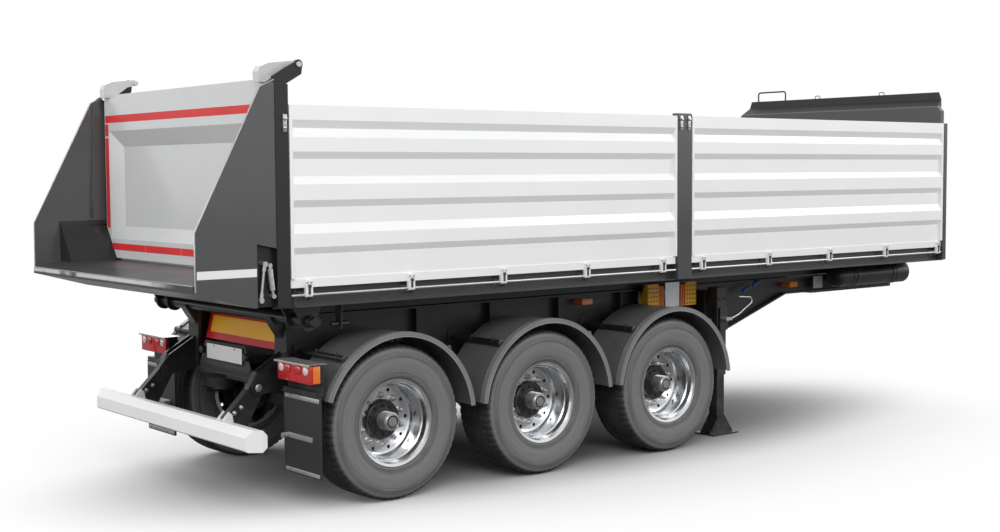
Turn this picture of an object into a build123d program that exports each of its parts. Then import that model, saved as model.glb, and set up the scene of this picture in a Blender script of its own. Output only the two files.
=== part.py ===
"""Tipper semi-trailer: three axles, dropside bed, pendulum tailgate and rear chute.

Millimetres. +X points forward to the kingpin, +Y to the left, +Z up. The origin is on the
ground, midway between the two ends of the trailer and on its centre plane.
Lengths called stations are counted forward from the rear axle.
"""
from build123d import *
import os
from math import atan2, cos, degrees, radians, sin, sqrt, tan

os.makedirs("parts", exist_ok=True)

# Overall
overall_width = 2550.0
rear_overhang = 1524.0  # rear axle to the chute's lip
front_reach = 6252.0  # rear axle to the front wall's hoops
running_gap = 6.0  # between pieces that move past each other
seat_gap = 0.3  # between pieces that rest on each other
half_width = overall_width / 2
rear_axle_x = (rear_overhang - front_reach) / 2

# Wheels
axle_pitch = 1310.0
axle_count = 3
track = 2000.0
tyre_diameter = 1060.0
rim_flange_diameter = 597.0
rim_seat_diameter = 564.0
disc_offset = -32.0  # of its inner face, outward from the wheel's centre plane
disc_diameter = 455.0
disc_thickness = 14.0
hub_diameter = 266.0
hub_cap_diameter = 112.0
hub_cap_end = 130.0  # outward from the wheel's centre plane
drum_diameter = 410.0
hand_hole_count = 10
hand_hole_diameter = 26.0
hand_hole_circle = 412.0
axle_z = tyre_diameter / 2
wheel_y = track / 2

# Chassis beams
beam_y = 620.0
beam_top_z = 1250.0
beam_depth = 400.0
neck_depth = 150.0
beam_flange_width = 130.0
beam_flange = 14.0
beam_web = 8.0
beam_rear = -560.0
neck_start = 3850.0
neck_end = 4600.0
beam_front = 6150.0
rib_stations = (530.0, 1205.0, 1890.0, 2560.0, 3200.0)
rib_thickness = 8.0

# Coupling
coupling_plate_rear = 4950.0
coupling_plate = 10.0
kingpin_station = 5750.0
kingpin_neck = 50.8
kingpin_shoulder = 73.0
kingpin_head = 71.5
kingpin_lengths = (13.0, 35.0, 36.0)  # shoulder, neck, head below the plate

# Suspension
hanger_lead = 530.0  # pivot ahead of its axle
arm_y = beam_y
arm_width = 90.0
arm_pivot_z = 610.0
hanger_wall = 10.0
pivot_pin_diameter = 48.0
air_spring_diameter = 300.0
air_spring_lag = 350.0  # behind its axle
axle_tube = 146.0
brake_chamber_diameter = 165.0

# Mudguards
guard_radius = 612.0
guard_thickness = 5.0
guard_inner_y = 790.0
guard_outer_y = half_width - 25.0
guard_lip = 26.0
stay_diameter = 42.0
stay_angle = 48.0  # above the horizontal, either side of the axle

# Bed
bed_rear = -955.0
bed_front = 6130.0
floor_top_z = 1570.0
floor_plate = 6.0
bearer_pitch = 470.0
bearer_width = 60.0
bearer_depth = 110.0
bearer_wall = 6.0
runner_y = beam_y
runner_width = 90.0
rail_bottom_z = 1363.0
rail_face_y = half_width - 70.0
rail_wall = 8.0
rail_flange_y = half_width - 32.0
rail_front = 6190.0
hinge_rod_z = 1442.0
hinge_rod_diameter = 18.0
hinge_knuckle_diameter = 30.0
hinge_knuckle_width = 52.0
hinge_y = half_width - 1.0 - hinge_knuckle_diameter / 2
hinge_pitch = 793.0
pin_clearance = 0.5

# Dropsides: height of each change of face and its depth behind the outer face
side_top_z = 2635.0
side_bottom_z = 1490.0
side_thickness = 60.0
side_groove = 24.0
side_end_band = 22.0
side_profile = (  # height z, depth
    (2635.0, 0.0), (2543.0, 0.0), (2493.0, 1.0), (2435.0, 0.0), (2345.0, 0.0),
    (2300.0, 1.0), (2190.0, 1.0), (2140.0, 0.0), (2040.0, 0.0), (1995.0, 1.0),
    (1890.0, 1.0), (1830.0, 0.0), (1743.0, 0.0), (1700.0, 1.0), (1549.0, 1.0),
    (1545.0, 0.75), (1490.0, 0.75),
)

# Posts
rear_post_front = -862.0
rear_post_inner_y = half_width - 49.0
rear_post_top_z = 2762.0
centre_post_rear = 2598.0
centre_post_width = 155.0
centre_post_top_z = 2655.0
side_gap = 7.0  # between a dropside's end and its post

# Front wall and hood
wall_thickness = 50.0
wall_top_z = 2790.0
hood_step = 100.0
hood_band_top_z = 2862.0
hood_lip_top_z = 2932.0
hood_plate = 6.0
wall_half_width = rail_flange_y - 8.0
hood_half_width = wall_half_width - 92.0

# Chute
chute_plate = 8.0
chute_lip_top_z = 1537.0
chute_lip_bottom_z = 1491.0
chute_knuckle_z = 1857.0
chute_top_rear = -1057.0
chute_top_rear_z = 2740.0
chute_top_z = 2789.0
chute_keel = -1116.0
chute_keel_z = 1381.0
lock_bay_rear = -1094.0
lock_bay_top_z = 1775.0
deflector_rear = -1320.0
deflector_height = 300.0
deflector_reach = 210.0

# Tailgate
gate_face = -970.0
gate_depth = 62.0
gate_half_width = half_width - 59.0
gate_top_z = 2795.0
gate_bottom_z = 1588.0
gate_recess = 46.0
gate_rim = (gate_half_width - 79.0, 1730.0, 2529.0)  # half width, bottom and top of the recess's mouth
gate_pan = (gate_half_width - 233.0, 1824.0, 2411.0)  # the same of its flat bottom
gate_pivot_station = -766.0
gate_pivot_z = 2889.0
gate_arm_y = gate_half_width - 66.0
gate_arm_width = 70.0
gate_pin_diameter = 34.0

# Tipping gear
tip_station = -600.0
tip_z = 1250.0
tip_shaft_diameter = 80.0
tip_shaft_half = 1105.0
cylinder_station = 3150.0
cylinder_pivot_z = 880.0
cylinder_bottom_z = 410.0
cylinder_top_z = 1290.0
cylinder_length = 830.0
stage_count = 4
stage_outer_radius = 128.0
stage_step = 19.0
barrel_radius = 150.0
ball_diameter = 96.0

# Rear frame and underrun guard
guard_pivot_station = -790.0
guard_pivot_z = 793.0
underrun_arm_y = 660.0
underrun_arm_width = 60.0
underrun_half = half_width - 80.0
underrun_front = -1000.0
underrun_depth = 122.0
underrun_bottom_z = 462.0
underrun_height = 140.0
lamp_face = -700.0
lamp_outer_y = half_width - 35.0
lamp_width = 425.0
lamp_height = 132.0
lamp_top_z = 987.0
lamp_depth = 92.0
flap_station = -640.0
flap_top_z = 775.0
flap_bottom_z = 240.0
flap_thickness = 8.0
board_foot = -512.0
board_slope = 0.27
board_sheet = 3.0
board_stay_y = 360.0
board_width = 1100.0
cross_plate_station = -410.0
board_height = 225.0
board_bottom_z = 1000.0
plate_station = -650.0
plate_width = 530.0
plate_height = 118.0
plate_bottom_z = 884.0

# Landing legs
leg_station = 3490.0
leg_y = beam_y + 250.0
leg_tube = 112.0
leg_inner_tube = 92.0
leg_top_z = 1235.0
leg_sleeve_bottom_z = 500.0
foot_length = 300.0
foot_width = 220.0
leg_shaft_lead = 28.0
leg_shaft_z = 905.0
leg_shaft_radius = 17.0

# Equipment
chock_station = 3045.0
chock_width = 122.0
chock_height = 196.0
chock_depth = 92.0
chock_top_z = 1290.0
tank_station = 5650.0
tank_length = 1080.0
tank_radius = 103.0
tank_y = beam_y + 180.0
tank_z = 1240.0


def at(station):
    """X of a station counted forward from the rear axle."""
    return rear_axle_x + station


def block(x, y, z, mode=Mode.ADD):
    """A box between two x, two y and two z values, added to the open part or cut from it."""
    centre = (sum(x) / 2, sum(y) / 2, sum(z) / 2)
    with Locations(centre):
        Box(abs(x[1] - x[0]), abs(y[1] - y[0]), abs(z[1] - z[0]), mode=mode)


def save(piece, label):
    """Label the finished piece and write its file."""
    piece.part.label = label
    export_step(piece.part, "parts/" + label + ".step")


def on_side(y):
    """The upright plane along the trailer at the given y."""
    return Plane.XZ.offset(-y)


def across(x):
    """The upright plane across the trailer at the given x."""
    return Plane.YZ.offset(x)


axle_stations = [axle_pitch * i for i in range(axle_count)]
sides = (1, -1)

# Chassis: two welded beams with a raised neck in front
beam_bottom_z = beam_top_z - beam_depth
neck_bottom_z = beam_top_z - neck_depth
hanger_gap = arm_width + 2 * seat_gap
hanger_shape = (  # forward of the pivot, above it
    (-95.0, beam_bottom_z - arm_pivot_z), (150.0, beam_bottom_z - arm_pivot_z),
    (62.0, -20.0), (38.0, -62.0), (-38.0, -62.0), (-60.0, -20.0),
)
beam_outline = [
    (at(beam_rear), beam_top_z), (at(beam_rear), beam_bottom_z + 60.0),
    (at(beam_rear) + 160.0, beam_bottom_z), (at(neck_start), beam_bottom_z),
    (at(neck_end), neck_bottom_z), (at(beam_front), neck_bottom_z),
    (at(beam_front), beam_top_z),
]
with BuildPart() as main_beams:
    for side in sides:
        with BuildSketch(on_side(side * beam_y)):
            Polygon(*beam_outline, align=None)
        extrude(amount=beam_web / 2, both=True)
        with BuildSketch(on_side(side * beam_y)):
            Polygon(*beam_outline, align=None)
            offset(amount=-beam_flange, mode=Mode.SUBTRACT)
        extrude(amount=beam_flange_width / 2, both=True)
        for rib in rib_stations:
            rib_y = (side * beam_y, side * (beam_y + beam_flange_width / 2 - 4.0))
            rib_x = (at(rib) - rib_thickness / 2, at(rib) + rib_thickness / 2)
            block(rib_x, rib_y, (beam_bottom_z + 1.0, beam_top_z - 1.0))
        for station in axle_stations:
            pivot_x = at(station + hanger_lead)
            for face in sides:
                plate_y = side * arm_y + face * (hanger_gap + hanger_wall) / 2
                with BuildSketch(on_side(plate_y)):
                    with Locations((pivot_x, arm_pivot_z)):
                        Polygon(*hanger_shape, align=None)
                extrude(amount=hanger_wall / 2, both=True)
            front_edge = pivot_x + 62.0
            with BuildSketch(on_side(side * arm_y)):
                Polygon(
                    (front_edge, arm_pivot_z - 20.0), (pivot_x + 150.0, beam_bottom_z),
                    (pivot_x + 150.0 - 12.0, beam_bottom_z),
                    (front_edge - 12.0, arm_pivot_z - 20.0), align=None,
                )
            extrude(amount=hanger_gap / 2, both=True)
            with BuildSketch(on_side(side * (arm_y + hanger_gap / 2 + hanger_wall))):
                with Locations((pivot_x, arm_pivot_z)):
                    Circle(34.0)
            extrude(amount=-side * 16.0)
    with BuildSketch(on_side(0.0)):
        with Locations((at(leg_station) + leg_shaft_lead, leg_shaft_z)):
            Circle(leg_shaft_radius + 5.0)
    extrude(amount=beam_y + 20.0, both=True, mode=Mode.SUBTRACT)
save(main_beams, "main_beams")

# Cross-members: station, depth below the beam top, height, run
cross_table = (
    (60.0, 30.0, 300.0, 90.0),
    (1205.0, 30.0, 300.0, 90.0),
    (2560.0, 30.0, 300.0, 90.0),
    (4250.0, 25.0, 150.0, 90.0),
    (4905.0, 16.0, 118.0, 80.0),
    (6080.0, 16.0, 118.0, 110.0),
)
channel_wall = 8.0
member_half = beam_y - beam_web / 2
cradle_half = 300.0
with BuildPart() as cross_members:
    for station, drop, height, run in cross_table:
        top = beam_top_z - drop
        with BuildSketch(on_side(0.0)):
            with Locations((at(station), top - height / 2)):
                Rectangle(run, height)
            with Locations((at(station) + channel_wall, top - height / 2)):
                Rectangle(run, height - 2 * channel_wall, mode=Mode.SUBTRACT)
        extrude(amount=member_half, both=True)
save(cross_members, "cross_members")

# Cradle that carries the tipping cylinder on a pair of trunnions
trunnion_diameter = 60.0
trunnion_reach = 46.0
trunnion_inner_y = barrel_radius + 22.0
with BuildPart() as cylinder_cradle:
    for face in sides:
        beam_x = at(cylinder_station) + face * cradle_half
        with BuildSketch(on_side(0.0)):
            with Locations((beam_x, cylinder_pivot_z + 90.0)):
                Rectangle(70.0, 180.0)
                Rectangle(46.0, 156.0, mode=Mode.SUBTRACT)
        extrude(amount=member_half, both=True)
        for side in sides:
            cheek_y = side * (trunnion_inner_y + trunnion_reach / 2)
            with BuildSketch(on_side(cheek_y)):
                Polygon(
                    (beam_x - face * 35.0, cylinder_pivot_z + 120.0),
                    (at(cylinder_station), cylinder_pivot_z + 75.0),
                    (at(cylinder_station), cylinder_pivot_z - 75.0),
                    (beam_x - face * 35.0, cylinder_pivot_z), align=None,
                )
            extrude(amount=trunnion_reach / 2, both=True)
    with BuildSketch(on_side(0.0)):
        with Locations((at(cylinder_station), cylinder_pivot_z)):
            Circle(trunnion_diameter / 2 + pin_clearance)
    extrude(amount=member_half, both=True, mode=Mode.SUBTRACT)
save(cylinder_cradle, "cylinder_cradle")

# Coupling plate with the kingpin under it
coupling_z = neck_bottom_z - coupling_plate
with BuildPart() as coupling:
    plate_x = (at(coupling_plate_rear), at(beam_front))
    plate_edge = beam_y + beam_flange_width / 2
    block(plate_x, (-plate_edge, plate_edge), (coupling_z, neck_bottom_z))
    diameters = (kingpin_shoulder, kingpin_neck, kingpin_head)
    step_z = coupling_z
    for diameter, length in zip(diameters, kingpin_lengths):
        with BuildSketch(Plane.XY.offset(step_z)):
            with Locations((at(kingpin_station), 0)):
                Circle(diameter / 2)
        extrude(amount=-length)
        step_z -= length
    for face in sides:
        with BuildSketch(across(at(coupling_plate_rear))):
            with Locations((face * 300.0, neck_bottom_z + 50.0)):
                Rectangle(8.0, 100.0)
        extrude(amount=at(beam_front) - at(coupling_plate_rear) - 130.0)
save(coupling, "coupling_plate")

# Rear frame: cross plate, shaft brackets, underrun lugs, lamp arms and panel carriers
frame_plate = 10.0
bracket_half = 45.0
lug_gap = underrun_arm_width + 2 * seat_gap + 2 * 5.0
lug_wall = 14.0
lamp_arm = 60.0
lamp_arm_z = lamp_top_z - 30.0
with BuildPart() as rear_frame:
    cross_half = beam_y - beam_flange_width / 2
    with BuildSketch(across(at(cross_plate_station))):
        Polygon(
            (-cross_half, beam_top_z - 15.0), (cross_half, beam_top_z - 15.0),
            (cross_half, beam_bottom_z + 20.0), (440.0, beam_bottom_z), (420.0, 700.0),
            (-420.0, 700.0), (-440.0, beam_bottom_z), (-cross_half, beam_bottom_z + 20.0), align=None,
        )
        with Locations((0, 820.0)):
            RectangleRounded(560.0, 150.0, 40.0, mode=Mode.SUBTRACT)
    extrude(amount=-frame_plate)
    stay_back = [
        (at(board_foot) + board_sheet * 1.04 + seat_gap + board_slope * rise, board_bottom_z + rise)
        for rise in (50.0, 180.0)
    ]
    for side in sides:
        with BuildSketch(on_side(side * board_stay_y)):
            Polygon(
                *stay_back, (at(cross_plate_station) - frame_plate, board_bottom_z + 180.0),
                (at(cross_plate_station) - frame_plate, board_bottom_z + 50.0), align=None,
            )
        extrude(amount=20.0, both=True)
    plate_back = at(beam_rear) - frame_plate
    for side in sides:
        with BuildSketch(across(at(beam_rear))):
            Polygon(
                (side * cross_half, beam_top_z - 45.0), (side * (member_half + 94.0), beam_top_z - 90.0),
                (side * (member_half + 94.0), 770.0), (side * cross_half, 790.0), align=None,
            )
        extrude(amount=-frame_plate)
        with BuildSketch(on_side(side * beam_y)):
            Polygon(
                (at(beam_rear) + 90.0, beam_top_z), (at(beam_rear), beam_top_z),
                (at(beam_rear), beam_top_z - 150.0), (plate_back, beam_top_z - 150.0),
                (at(tip_station) - 30.0, tip_z - 62.0), (at(tip_station) - 62.0, tip_z - 10.0),
                (at(tip_station) - 62.0, tip_z), (at(tip_station), tip_z), align=None,
            )
        extrude(amount=bracket_half, both=True)
        for face in sides:
            lug_y = side * underrun_arm_y + face * (lug_gap + lug_wall) / 2
            with BuildSketch(on_side(lug_y)):
                Polygon(
                    (plate_back, 1010.0), (plate_back, 770.0),
                    (at(guard_pivot_station) + 20.0, guard_pivot_z - 50.0),
                    (at(guard_pivot_station) - 38.0, guard_pivot_z - 40.0),
                    (at(guard_pivot_station) - 46.0, guard_pivot_z + 30.0),
                    (at(guard_pivot_station) + 10.0, guard_pivot_z + 95.0), align=None,
                )
            extrude(amount=lug_wall / 2, both=True)
    with BuildSketch(on_side(0.0)):
        with Locations((at(guard_pivot_station), guard_pivot_z)):
            Circle(20.0 + pin_clearance)
    extrude(amount=half_width, both=True, mode=Mode.SUBTRACT)
    with BuildSketch(on_side(0.0)):
        with Locations((at(tip_station), tip_z)):
            Circle(tip_shaft_diameter / 2)
            Circle(tip_shaft_diameter / 2 - 12.0, mode=Mode.SUBTRACT)
    extrude(amount=tip_shaft_half, both=True)
    for side in sides:
        with BuildSketch(on_side(side * tip_shaft_half)):
            with Locations((at(tip_station), tip_z)):
                Circle(tip_shaft_diameter / 2 - 6.0)
        extrude(amount=-side * 42.0)
        arm_x = (at(lamp_face) + lamp_depth, at(lamp_face) + lamp_depth + 12.0)
        block(
            (at(beam_rear) - frame_plate, at(lamp_face) + lamp_depth),
            (side * (member_half + 20.0), side * (member_half + 60.0)),
            (lamp_arm_z - lamp_arm, lamp_arm_z),
        )
        block(arm_x, (side * (member_half + 20.0), side * (lamp_outer_y - 20.0)),
              (lamp_arm_z - lamp_arm - 60.0, lamp_arm_z))
        block((arm_x[0] - 50.0, arm_x[0]), (side * 810.0, side * (lamp_outer_y - 8.0)),
              (flap_top_z, flap_top_z + 30.0))
        block((arm_x[0], arm_x[1]), (side * 810.0, side * (lamp_outer_y - 20.0)),
              (flap_top_z, lamp_arm_z - lamp_arm - 60.0))
save(rear_frame, "rear_frame")

# Suspension: trailing arms on their pivots, air springs and through axles
arm_seat_z = axle_z + axle_tube / 2
spring_seat_z = 618.0
arm_shape = (  # forward of the axle, z
    (hanger_lead, arm_pivot_z + 50.0), (150.0, arm_seat_z + 92.0), (-130.0, arm_seat_z + 92.0),
    (-205.0, spring_seat_z), (-500.0, spring_seat_z), (-500.0, spring_seat_z - 32.0),
    (-190.0, spring_seat_z - 42.0), (-120.0, arm_seat_z), (130.0, arm_seat_z),
    (hanger_lead, arm_pivot_z - 50.0),
)
with BuildPart() as trailing_arms:
    for station in axle_stations:
        for side in sides:
            with BuildSketch(on_side(side * arm_y)):
                with Locations((at(station), 0)):
                    Polygon(*arm_shape, align=None)
                with Locations((at(station + hanger_lead), arm_pivot_z)):
                    Circle(50.0)
            extrude(amount=arm_width / 2, both=True)
            with BuildSketch(Plane.XY.offset(spring_seat_z)):
                with Locations((at(station - air_spring_lag), side * arm_y)):
                    Circle(air_spring_diameter / 2 - 40.0)
            extrude(amount=-14.0)
            with BuildSketch(on_side(side * arm_y)):
                with Locations((at(station + hanger_lead), arm_pivot_z)):
                    Circle(pivot_pin_diameter / 2)
            extrude(amount=hanger_gap / 2, both=True)
save(trailing_arms, "trailing_arms")

bellow_neck = air_spring_diameter / 2 - 34.0
spring_height = beam_bottom_z - spring_seat_z
with BuildPart() as air_springs:
    for station in axle_stations:
        for side in sides:
            spring_plane = Plane(
                (at(station - air_spring_lag), side * arm_y, spring_seat_z), (1, 0, 0), (0, -1, 0)
            )
            with BuildSketch(spring_plane):
                Polygon(
                    (0, 0), (bellow_neck, 0), (bellow_neck + 6.0, 0.32 * spring_height),
                    (air_spring_diameter / 2, 0.48 * spring_height),
                    (air_spring_diameter / 2, 0.72 * spring_height),
                    (bellow_neck + 16.0, 0.93 * spring_height), (bellow_neck, spring_height),
                    (0, spring_height), align=None,
                )
            spring_axis = Axis(spring_plane.origin, (0, 0, 1))
            revolve(axis=spring_axis)
save(air_springs, "air_springs")

hub_inner_y = wheel_y - 118.0
spindle_diameter = 90.0
spindle_end_y = wheel_y + hub_cap_end - 40.0
with BuildPart() as axles:
    for station in axle_stations:
        with BuildSketch(on_side(0.0)):
            with Locations((at(station), axle_z)):
                Circle(axle_tube / 2)
        extrude(amount=hub_inner_y - 60.0, both=True)
        with BuildSketch(on_side(0.0)):
            with Locations((at(station), axle_z)):
                Circle(spindle_diameter / 2)
        extrude(amount=spindle_end_y, both=True)
        for side in sides:
            with BuildSketch(on_side(side * (hub_inner_y - 60.0))):
                with Locations((at(station), axle_z)):
                    Circle(150.0)
            extrude(amount=side * 22.0)
            chamber_y = side * 455.0
            chamber_x = at(station) - 175.0
            with BuildSketch(on_side(chamber_y)):
                with Locations((chamber_x, axle_z + 10.0)):
                    Circle(brake_chamber_diameter / 2)
            extrude(amount=60.0, both=True)
            with BuildSketch(on_side(chamber_y)):
                with Locations((chamber_x, axle_z + 10.0)):
                    Circle(brake_chamber_diameter / 2 + 8.0)
            extrude(amount=9.0, both=True)
            block((chamber_x, at(station)), (chamber_y - 12.0, chamber_y + 12.0),
                  (axle_z - 30.0, axle_z + 45.0))
save(axles, "axles")

# Half-round mudguards and the tubes that carry them
guard_step = 8.0
guard_band = 46.0
guard_section = (  # y from the centre plane, radius
    (guard_inner_y, guard_radius - guard_thickness), (guard_inner_y, guard_radius),
    (guard_outer_y - guard_band, guard_radius), (guard_outer_y - guard_band, guard_radius + guard_step),
    (guard_outer_y, guard_radius + guard_step), (guard_outer_y, guard_radius - guard_lip),
    (guard_outer_y - guard_thickness, guard_radius - guard_lip),
    (guard_outer_y - guard_thickness, guard_radius + guard_step - guard_thickness),
    (guard_outer_y - guard_band + guard_thickness, guard_radius + guard_step - guard_thickness),
    (guard_outer_y - guard_band + guard_thickness, guard_radius - guard_thickness),
)
guard_rear_angles = (160.0, 174.0, 174.0)  # of each guard's rear edge above the horizontal
guard_front_angle = 6.0
with BuildPart() as mudguards:
    for station, rear_angle in zip(axle_stations, guard_rear_angles):
        start = radians(rear_angle)
        axis_point = (at(station), 0, axle_z)
        cut_plane = Plane(axis_point, (0, 1, 0), (sin(start), 0, -cos(start)))
        for side in sides:
            with BuildSketch(cut_plane):
                Polygon(*[(side * y, r) for y, r in guard_section], align=None)
            revolve(axis=Axis(axis_point, (0, 1, 0)), revolution_arc=rear_angle - guard_front_angle)
save(mudguards, "mudguards")

stay_radius = guard_radius + stay_diameter / 2 + seat_gap
with BuildPart() as mudguard_stays:
    for station in axle_stations:
        for lean in sides:
            stay_x = at(station) + lean * stay_radius * cos(radians(stay_angle))
            stay_z = axle_z + stay_radius * sin(radians(stay_angle))
            for side in sides:
                with BuildSketch(on_side(side * (beam_y + beam_web / 2))):
                    with Locations((stay_x, stay_z)):
                        Circle(stay_diameter / 2)
                extrude(amount=-side * (guard_outer_y - guard_band - 4.0 - beam_y - beam_web / 2))
                with BuildSketch(on_side(side * (beam_y + beam_web / 2))):
                    with Locations((stay_x, stay_z)):
                        RectangleRounded(90.0, 90.0, 14.0)
                extrude(amount=-side * 12.0)
save(mudguard_stays, "mudguard_stays")

with BuildPart() as mudflaps:
    for side in sides:
        flap_centre = (at(flap_station), side * (guard_outer_y + 10.0 + 800.0) / 2)
        with BuildSketch(Plane((flap_centre[0], 0, 0), (0, 1, 0), (1, 0, 0))):
            with Locations((flap_centre[1], (flap_top_z + flap_bottom_z) / 2)):
                RectangleRounded(guard_outer_y + 10.0 - 800.0, flap_top_z - flap_bottom_z, 12.0)
        extrude(amount=-flap_thickness)
save(mudflaps, "mudflaps")

# Tail lamps: a moulded box with a raised, faceted lens
lens_depth = 16.0
lens_margin = 5.0
with BuildPart() as tail_lamps:
    for side in sides:
        lamp_y = side * (lamp_outer_y - lamp_width / 2)
        with BuildSketch(across(at(lamp_face) + lens_depth)):
            with Locations((lamp_y, lamp_top_z - lamp_height / 2)):
                RectangleRounded(lamp_width, lamp_height, 12.0)
        extrude(amount=lamp_depth - lens_depth)
        with BuildSketch(across(at(lamp_face) + lens_depth)):
            with Locations((lamp_y, lamp_top_z - lamp_height / 2)):
                RectangleRounded(lamp_width - 2 * lens_margin, lamp_height - 2 * lens_margin, 12.0)
        extrude(amount=-lens_depth, taper=22.0)
save(tail_lamps, "tail_lamps")

# Long-vehicle board and number plate panel, both blank
with BuildPart() as marker_board:
    with BuildSketch(Plane((at(board_foot), 0, board_bottom_z), (0, 1, 0), (1, 0, -board_slope))):
        with Locations((0, board_height / 2)):
            Rectangle(board_width, board_height)
    extrude(amount=board_sheet)
save(marker_board, "marker_board")

panel_half = 400.0
with BuildPart() as plate_panel:
    with BuildSketch(across(at(plate_station))):
        Polygon(
            (-panel_half, plate_bottom_z - 92.0), (panel_half, plate_bottom_z - 92.0),
            (panel_half - 36.0, plate_bottom_z - 12.0),
            (plate_width / 2 + 26.0, plate_bottom_z + plate_height + 14.0),
            (-plate_width / 2 - 26.0, plate_bottom_z + plate_height + 14.0),
            (-panel_half + 36.0, plate_bottom_z - 12.0), align=None,
        )
    extrude(amount=4.0)
    for side in sides:
        block((at(plate_station) + 4.0, at(cross_plate_station) - frame_plate), (side * 270.0, side * 240.0),
              (plate_bottom_z + 10.0, plate_bottom_z + 60.0))
    with BuildSketch(across(at(plate_station))):
        with Locations((0, plate_bottom_z + plate_height / 2)):
            RectangleRounded(plate_width, plate_height, 10.0)
    extrude(amount=-4.0)
save(plate_panel, "plate_panel")

# Landing legs with their feet, gear heads and cross shaft
leg_half = leg_tube / 2
foot_plate = 12.0
with BuildPart() as landing_legs:
    for side in sides:
        leg_centre = (at(leg_station), side * leg_y)
        with BuildSketch(Plane.XY.offset(leg_sleeve_bottom_z)):
            with Locations(leg_centre):
                RectangleRounded(leg_tube, leg_tube, 9.0)
        extrude(amount=leg_top_z - leg_sleeve_bottom_z)
        with BuildSketch(Plane.XY.offset(60.0)):
            with Locations(leg_centre):
                RectangleRounded(leg_inner_tube, leg_inner_tube, 7.0)
        extrude(amount=leg_sleeve_bottom_z - 60.0)
        with BuildSketch(Plane.XY):
            with Locations(leg_centre):
                Rectangle(foot_length, foot_width)
        extrude(amount=foot_plate)
        for face in sides:
            with BuildSketch(on_side(side * leg_y + face * (leg_inner_tube / 2 + 5.0))):
                with Locations((at(leg_station), foot_plate)):
                    Polygon(
                        (-foot_length / 2 + 8.0, 0), (foot_length / 2 - 8.0, 0),
                        (34.0, 150.0), (-34.0, 150.0), align=None,
                    )
            extrude(amount=5.0, both=True)
        with BuildSketch(on_side(side * (beam_y + beam_flange_width / 2))):
            with Locations((at(leg_station), beam_top_z - 170.0)):
                RectangleRounded(190.0, 250.0, 16.0)
        extrude(amount=-side * (leg_y - leg_half - beam_y - beam_flange_width / 2))
        with BuildSketch(on_side(side * (leg_y + leg_half))):
            with Locations((at(leg_station), leg_top_z - 260.0)):
                RectangleRounded(leg_tube - 18.0, 190.0, 12.0)
        extrude(amount=-side * 26.0)
    with BuildSketch(on_side(0.0)):
        with Locations((at(leg_station) + leg_shaft_lead, leg_shaft_z)):
            Circle(leg_shaft_radius)
    extrude(amount=leg_y - leg_half - seat_gap, both=True)
save(landing_legs, "landing_legs")

# Folded crank, on the right-hand leg
crank_rod = 15.0
crank_z = leg_top_z - 260.0
crank_y = -(leg_y + leg_half + 26.0)
crank_path = (  # forward of the leg, y, z
    (60.0, crank_y - 24.0, 0.0), (150.0, crank_y - 24.0, 30.0), (330.0, crank_y - 24.0, 128.0),
    (300.0, crank_y - 24.0, 165.0), (150.0, crank_y - 24.0, 178.0),
)
with BuildPart() as leg_crank:
    with BuildSketch(on_side(crank_y)):
        with Locations((at(leg_station), crank_z)):
            Circle(18.0)
    extrude(amount=42.0)
    block((at(leg_station), at(leg_station) + 66.0), (crank_y - 32.0, crank_y - 16.0),
          (crank_z - 12.0, crank_z + 12.0))
    with BuildLine() as crank_line:
        FilletPolyline(*[(at(leg_station) + x, y, crank_z + z) for x, y, z in crank_path], radius=24.0)
    with BuildSketch(Plane(crank_line.line @ 0, z_dir=crank_line.line % 0)):
        Circle(crank_rod / 2)
    sweep(path=crank_line.line)
save(leg_crank, "leg_crank")

# Wheel chocks in their holder: wedge-shaped, ribbed, side by side
chock_pitch = 446.0
with BuildPart() as wheel_chocks:
    for face in sides:
        chock_x = at(chock_station) + face * chock_pitch / 2
        chock_y = -(beam_y + beam_flange_width / 2 + chock_depth / 2 + 6.0)
        with BuildSketch(Plane.YZ.offset(chock_x - chock_width / 2)):
            with Locations((chock_y, chock_top_z - chock_height)):
                Polygon(
                    (-chock_depth / 2, 0), (chock_depth / 2, 0), (chock_depth / 2, 70.0),
                    (-chock_depth / 2 + 30.0, chock_height), (-chock_depth / 2, chock_height), align=None,
                )
        extrude(amount=chock_width)
        for inner in (0, 1, 2):
            rib_x = chock_x - face * (chock_width / 2 + 8.0 + 24.0 * inner)
            block((rib_x - 8.0, rib_x + 8.0), (chock_y - chock_depth / 2, chock_y + chock_depth / 2),
                  (chock_top_z - chock_height, chock_top_z - 20.0))
        block((chock_x - face * chock_width / 2, chock_x - face * (chock_width / 2 + 64.0)),
              (chock_y - chock_depth / 2 + 14.0, chock_y + chock_depth / 2),
              (chock_top_z - chock_height + 20.0, chock_top_z - 40.0))
save(wheel_chocks, "wheel_chocks")

holder_wall = 4.0
chock_back_y = -(beam_y + beam_flange_width / 2) - 6.0
chock_front_y = chock_back_y - chock_depth
with BuildPart() as chock_holder:
    holder_x = (at(chock_station) - 300.0, at(chock_station) + 300.0)
    block(holder_x, (chock_back_y + seat_gap, chock_back_y + seat_gap + holder_wall),
          (chock_top_z - chock_height - holder_wall, chock_top_z - 60.0))
    block(holder_x, (chock_front_y + 30.0, chock_back_y + seat_gap),
          (chock_top_z - chock_height - holder_wall - seat_gap, chock_top_z - chock_height - seat_gap))
    block((at(chock_station) - 82.0, at(chock_station) + 82.0),
          (chock_front_y - 1.0, chock_front_y + 3.0), (chock_top_z - chock_height, chock_top_z + 4.0))
    block((at(chock_station) - 40.0, at(chock_station) + 40.0),
          (chock_front_y + 3.0, chock_back_y + seat_gap), (chock_top_z - chock_height - 4.0, chock_top_z - 150.0))
    for face in sides:
        block((at(chock_station) + face * 200.0, at(chock_station) + face * 240.0),
              (chock_back_y + seat_gap + holder_wall, -(beam_y + beam_web / 2)),
              (chock_top_z - 150.0, chock_top_z - 100.0))
save(chock_holder, "chock_holder")

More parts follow.
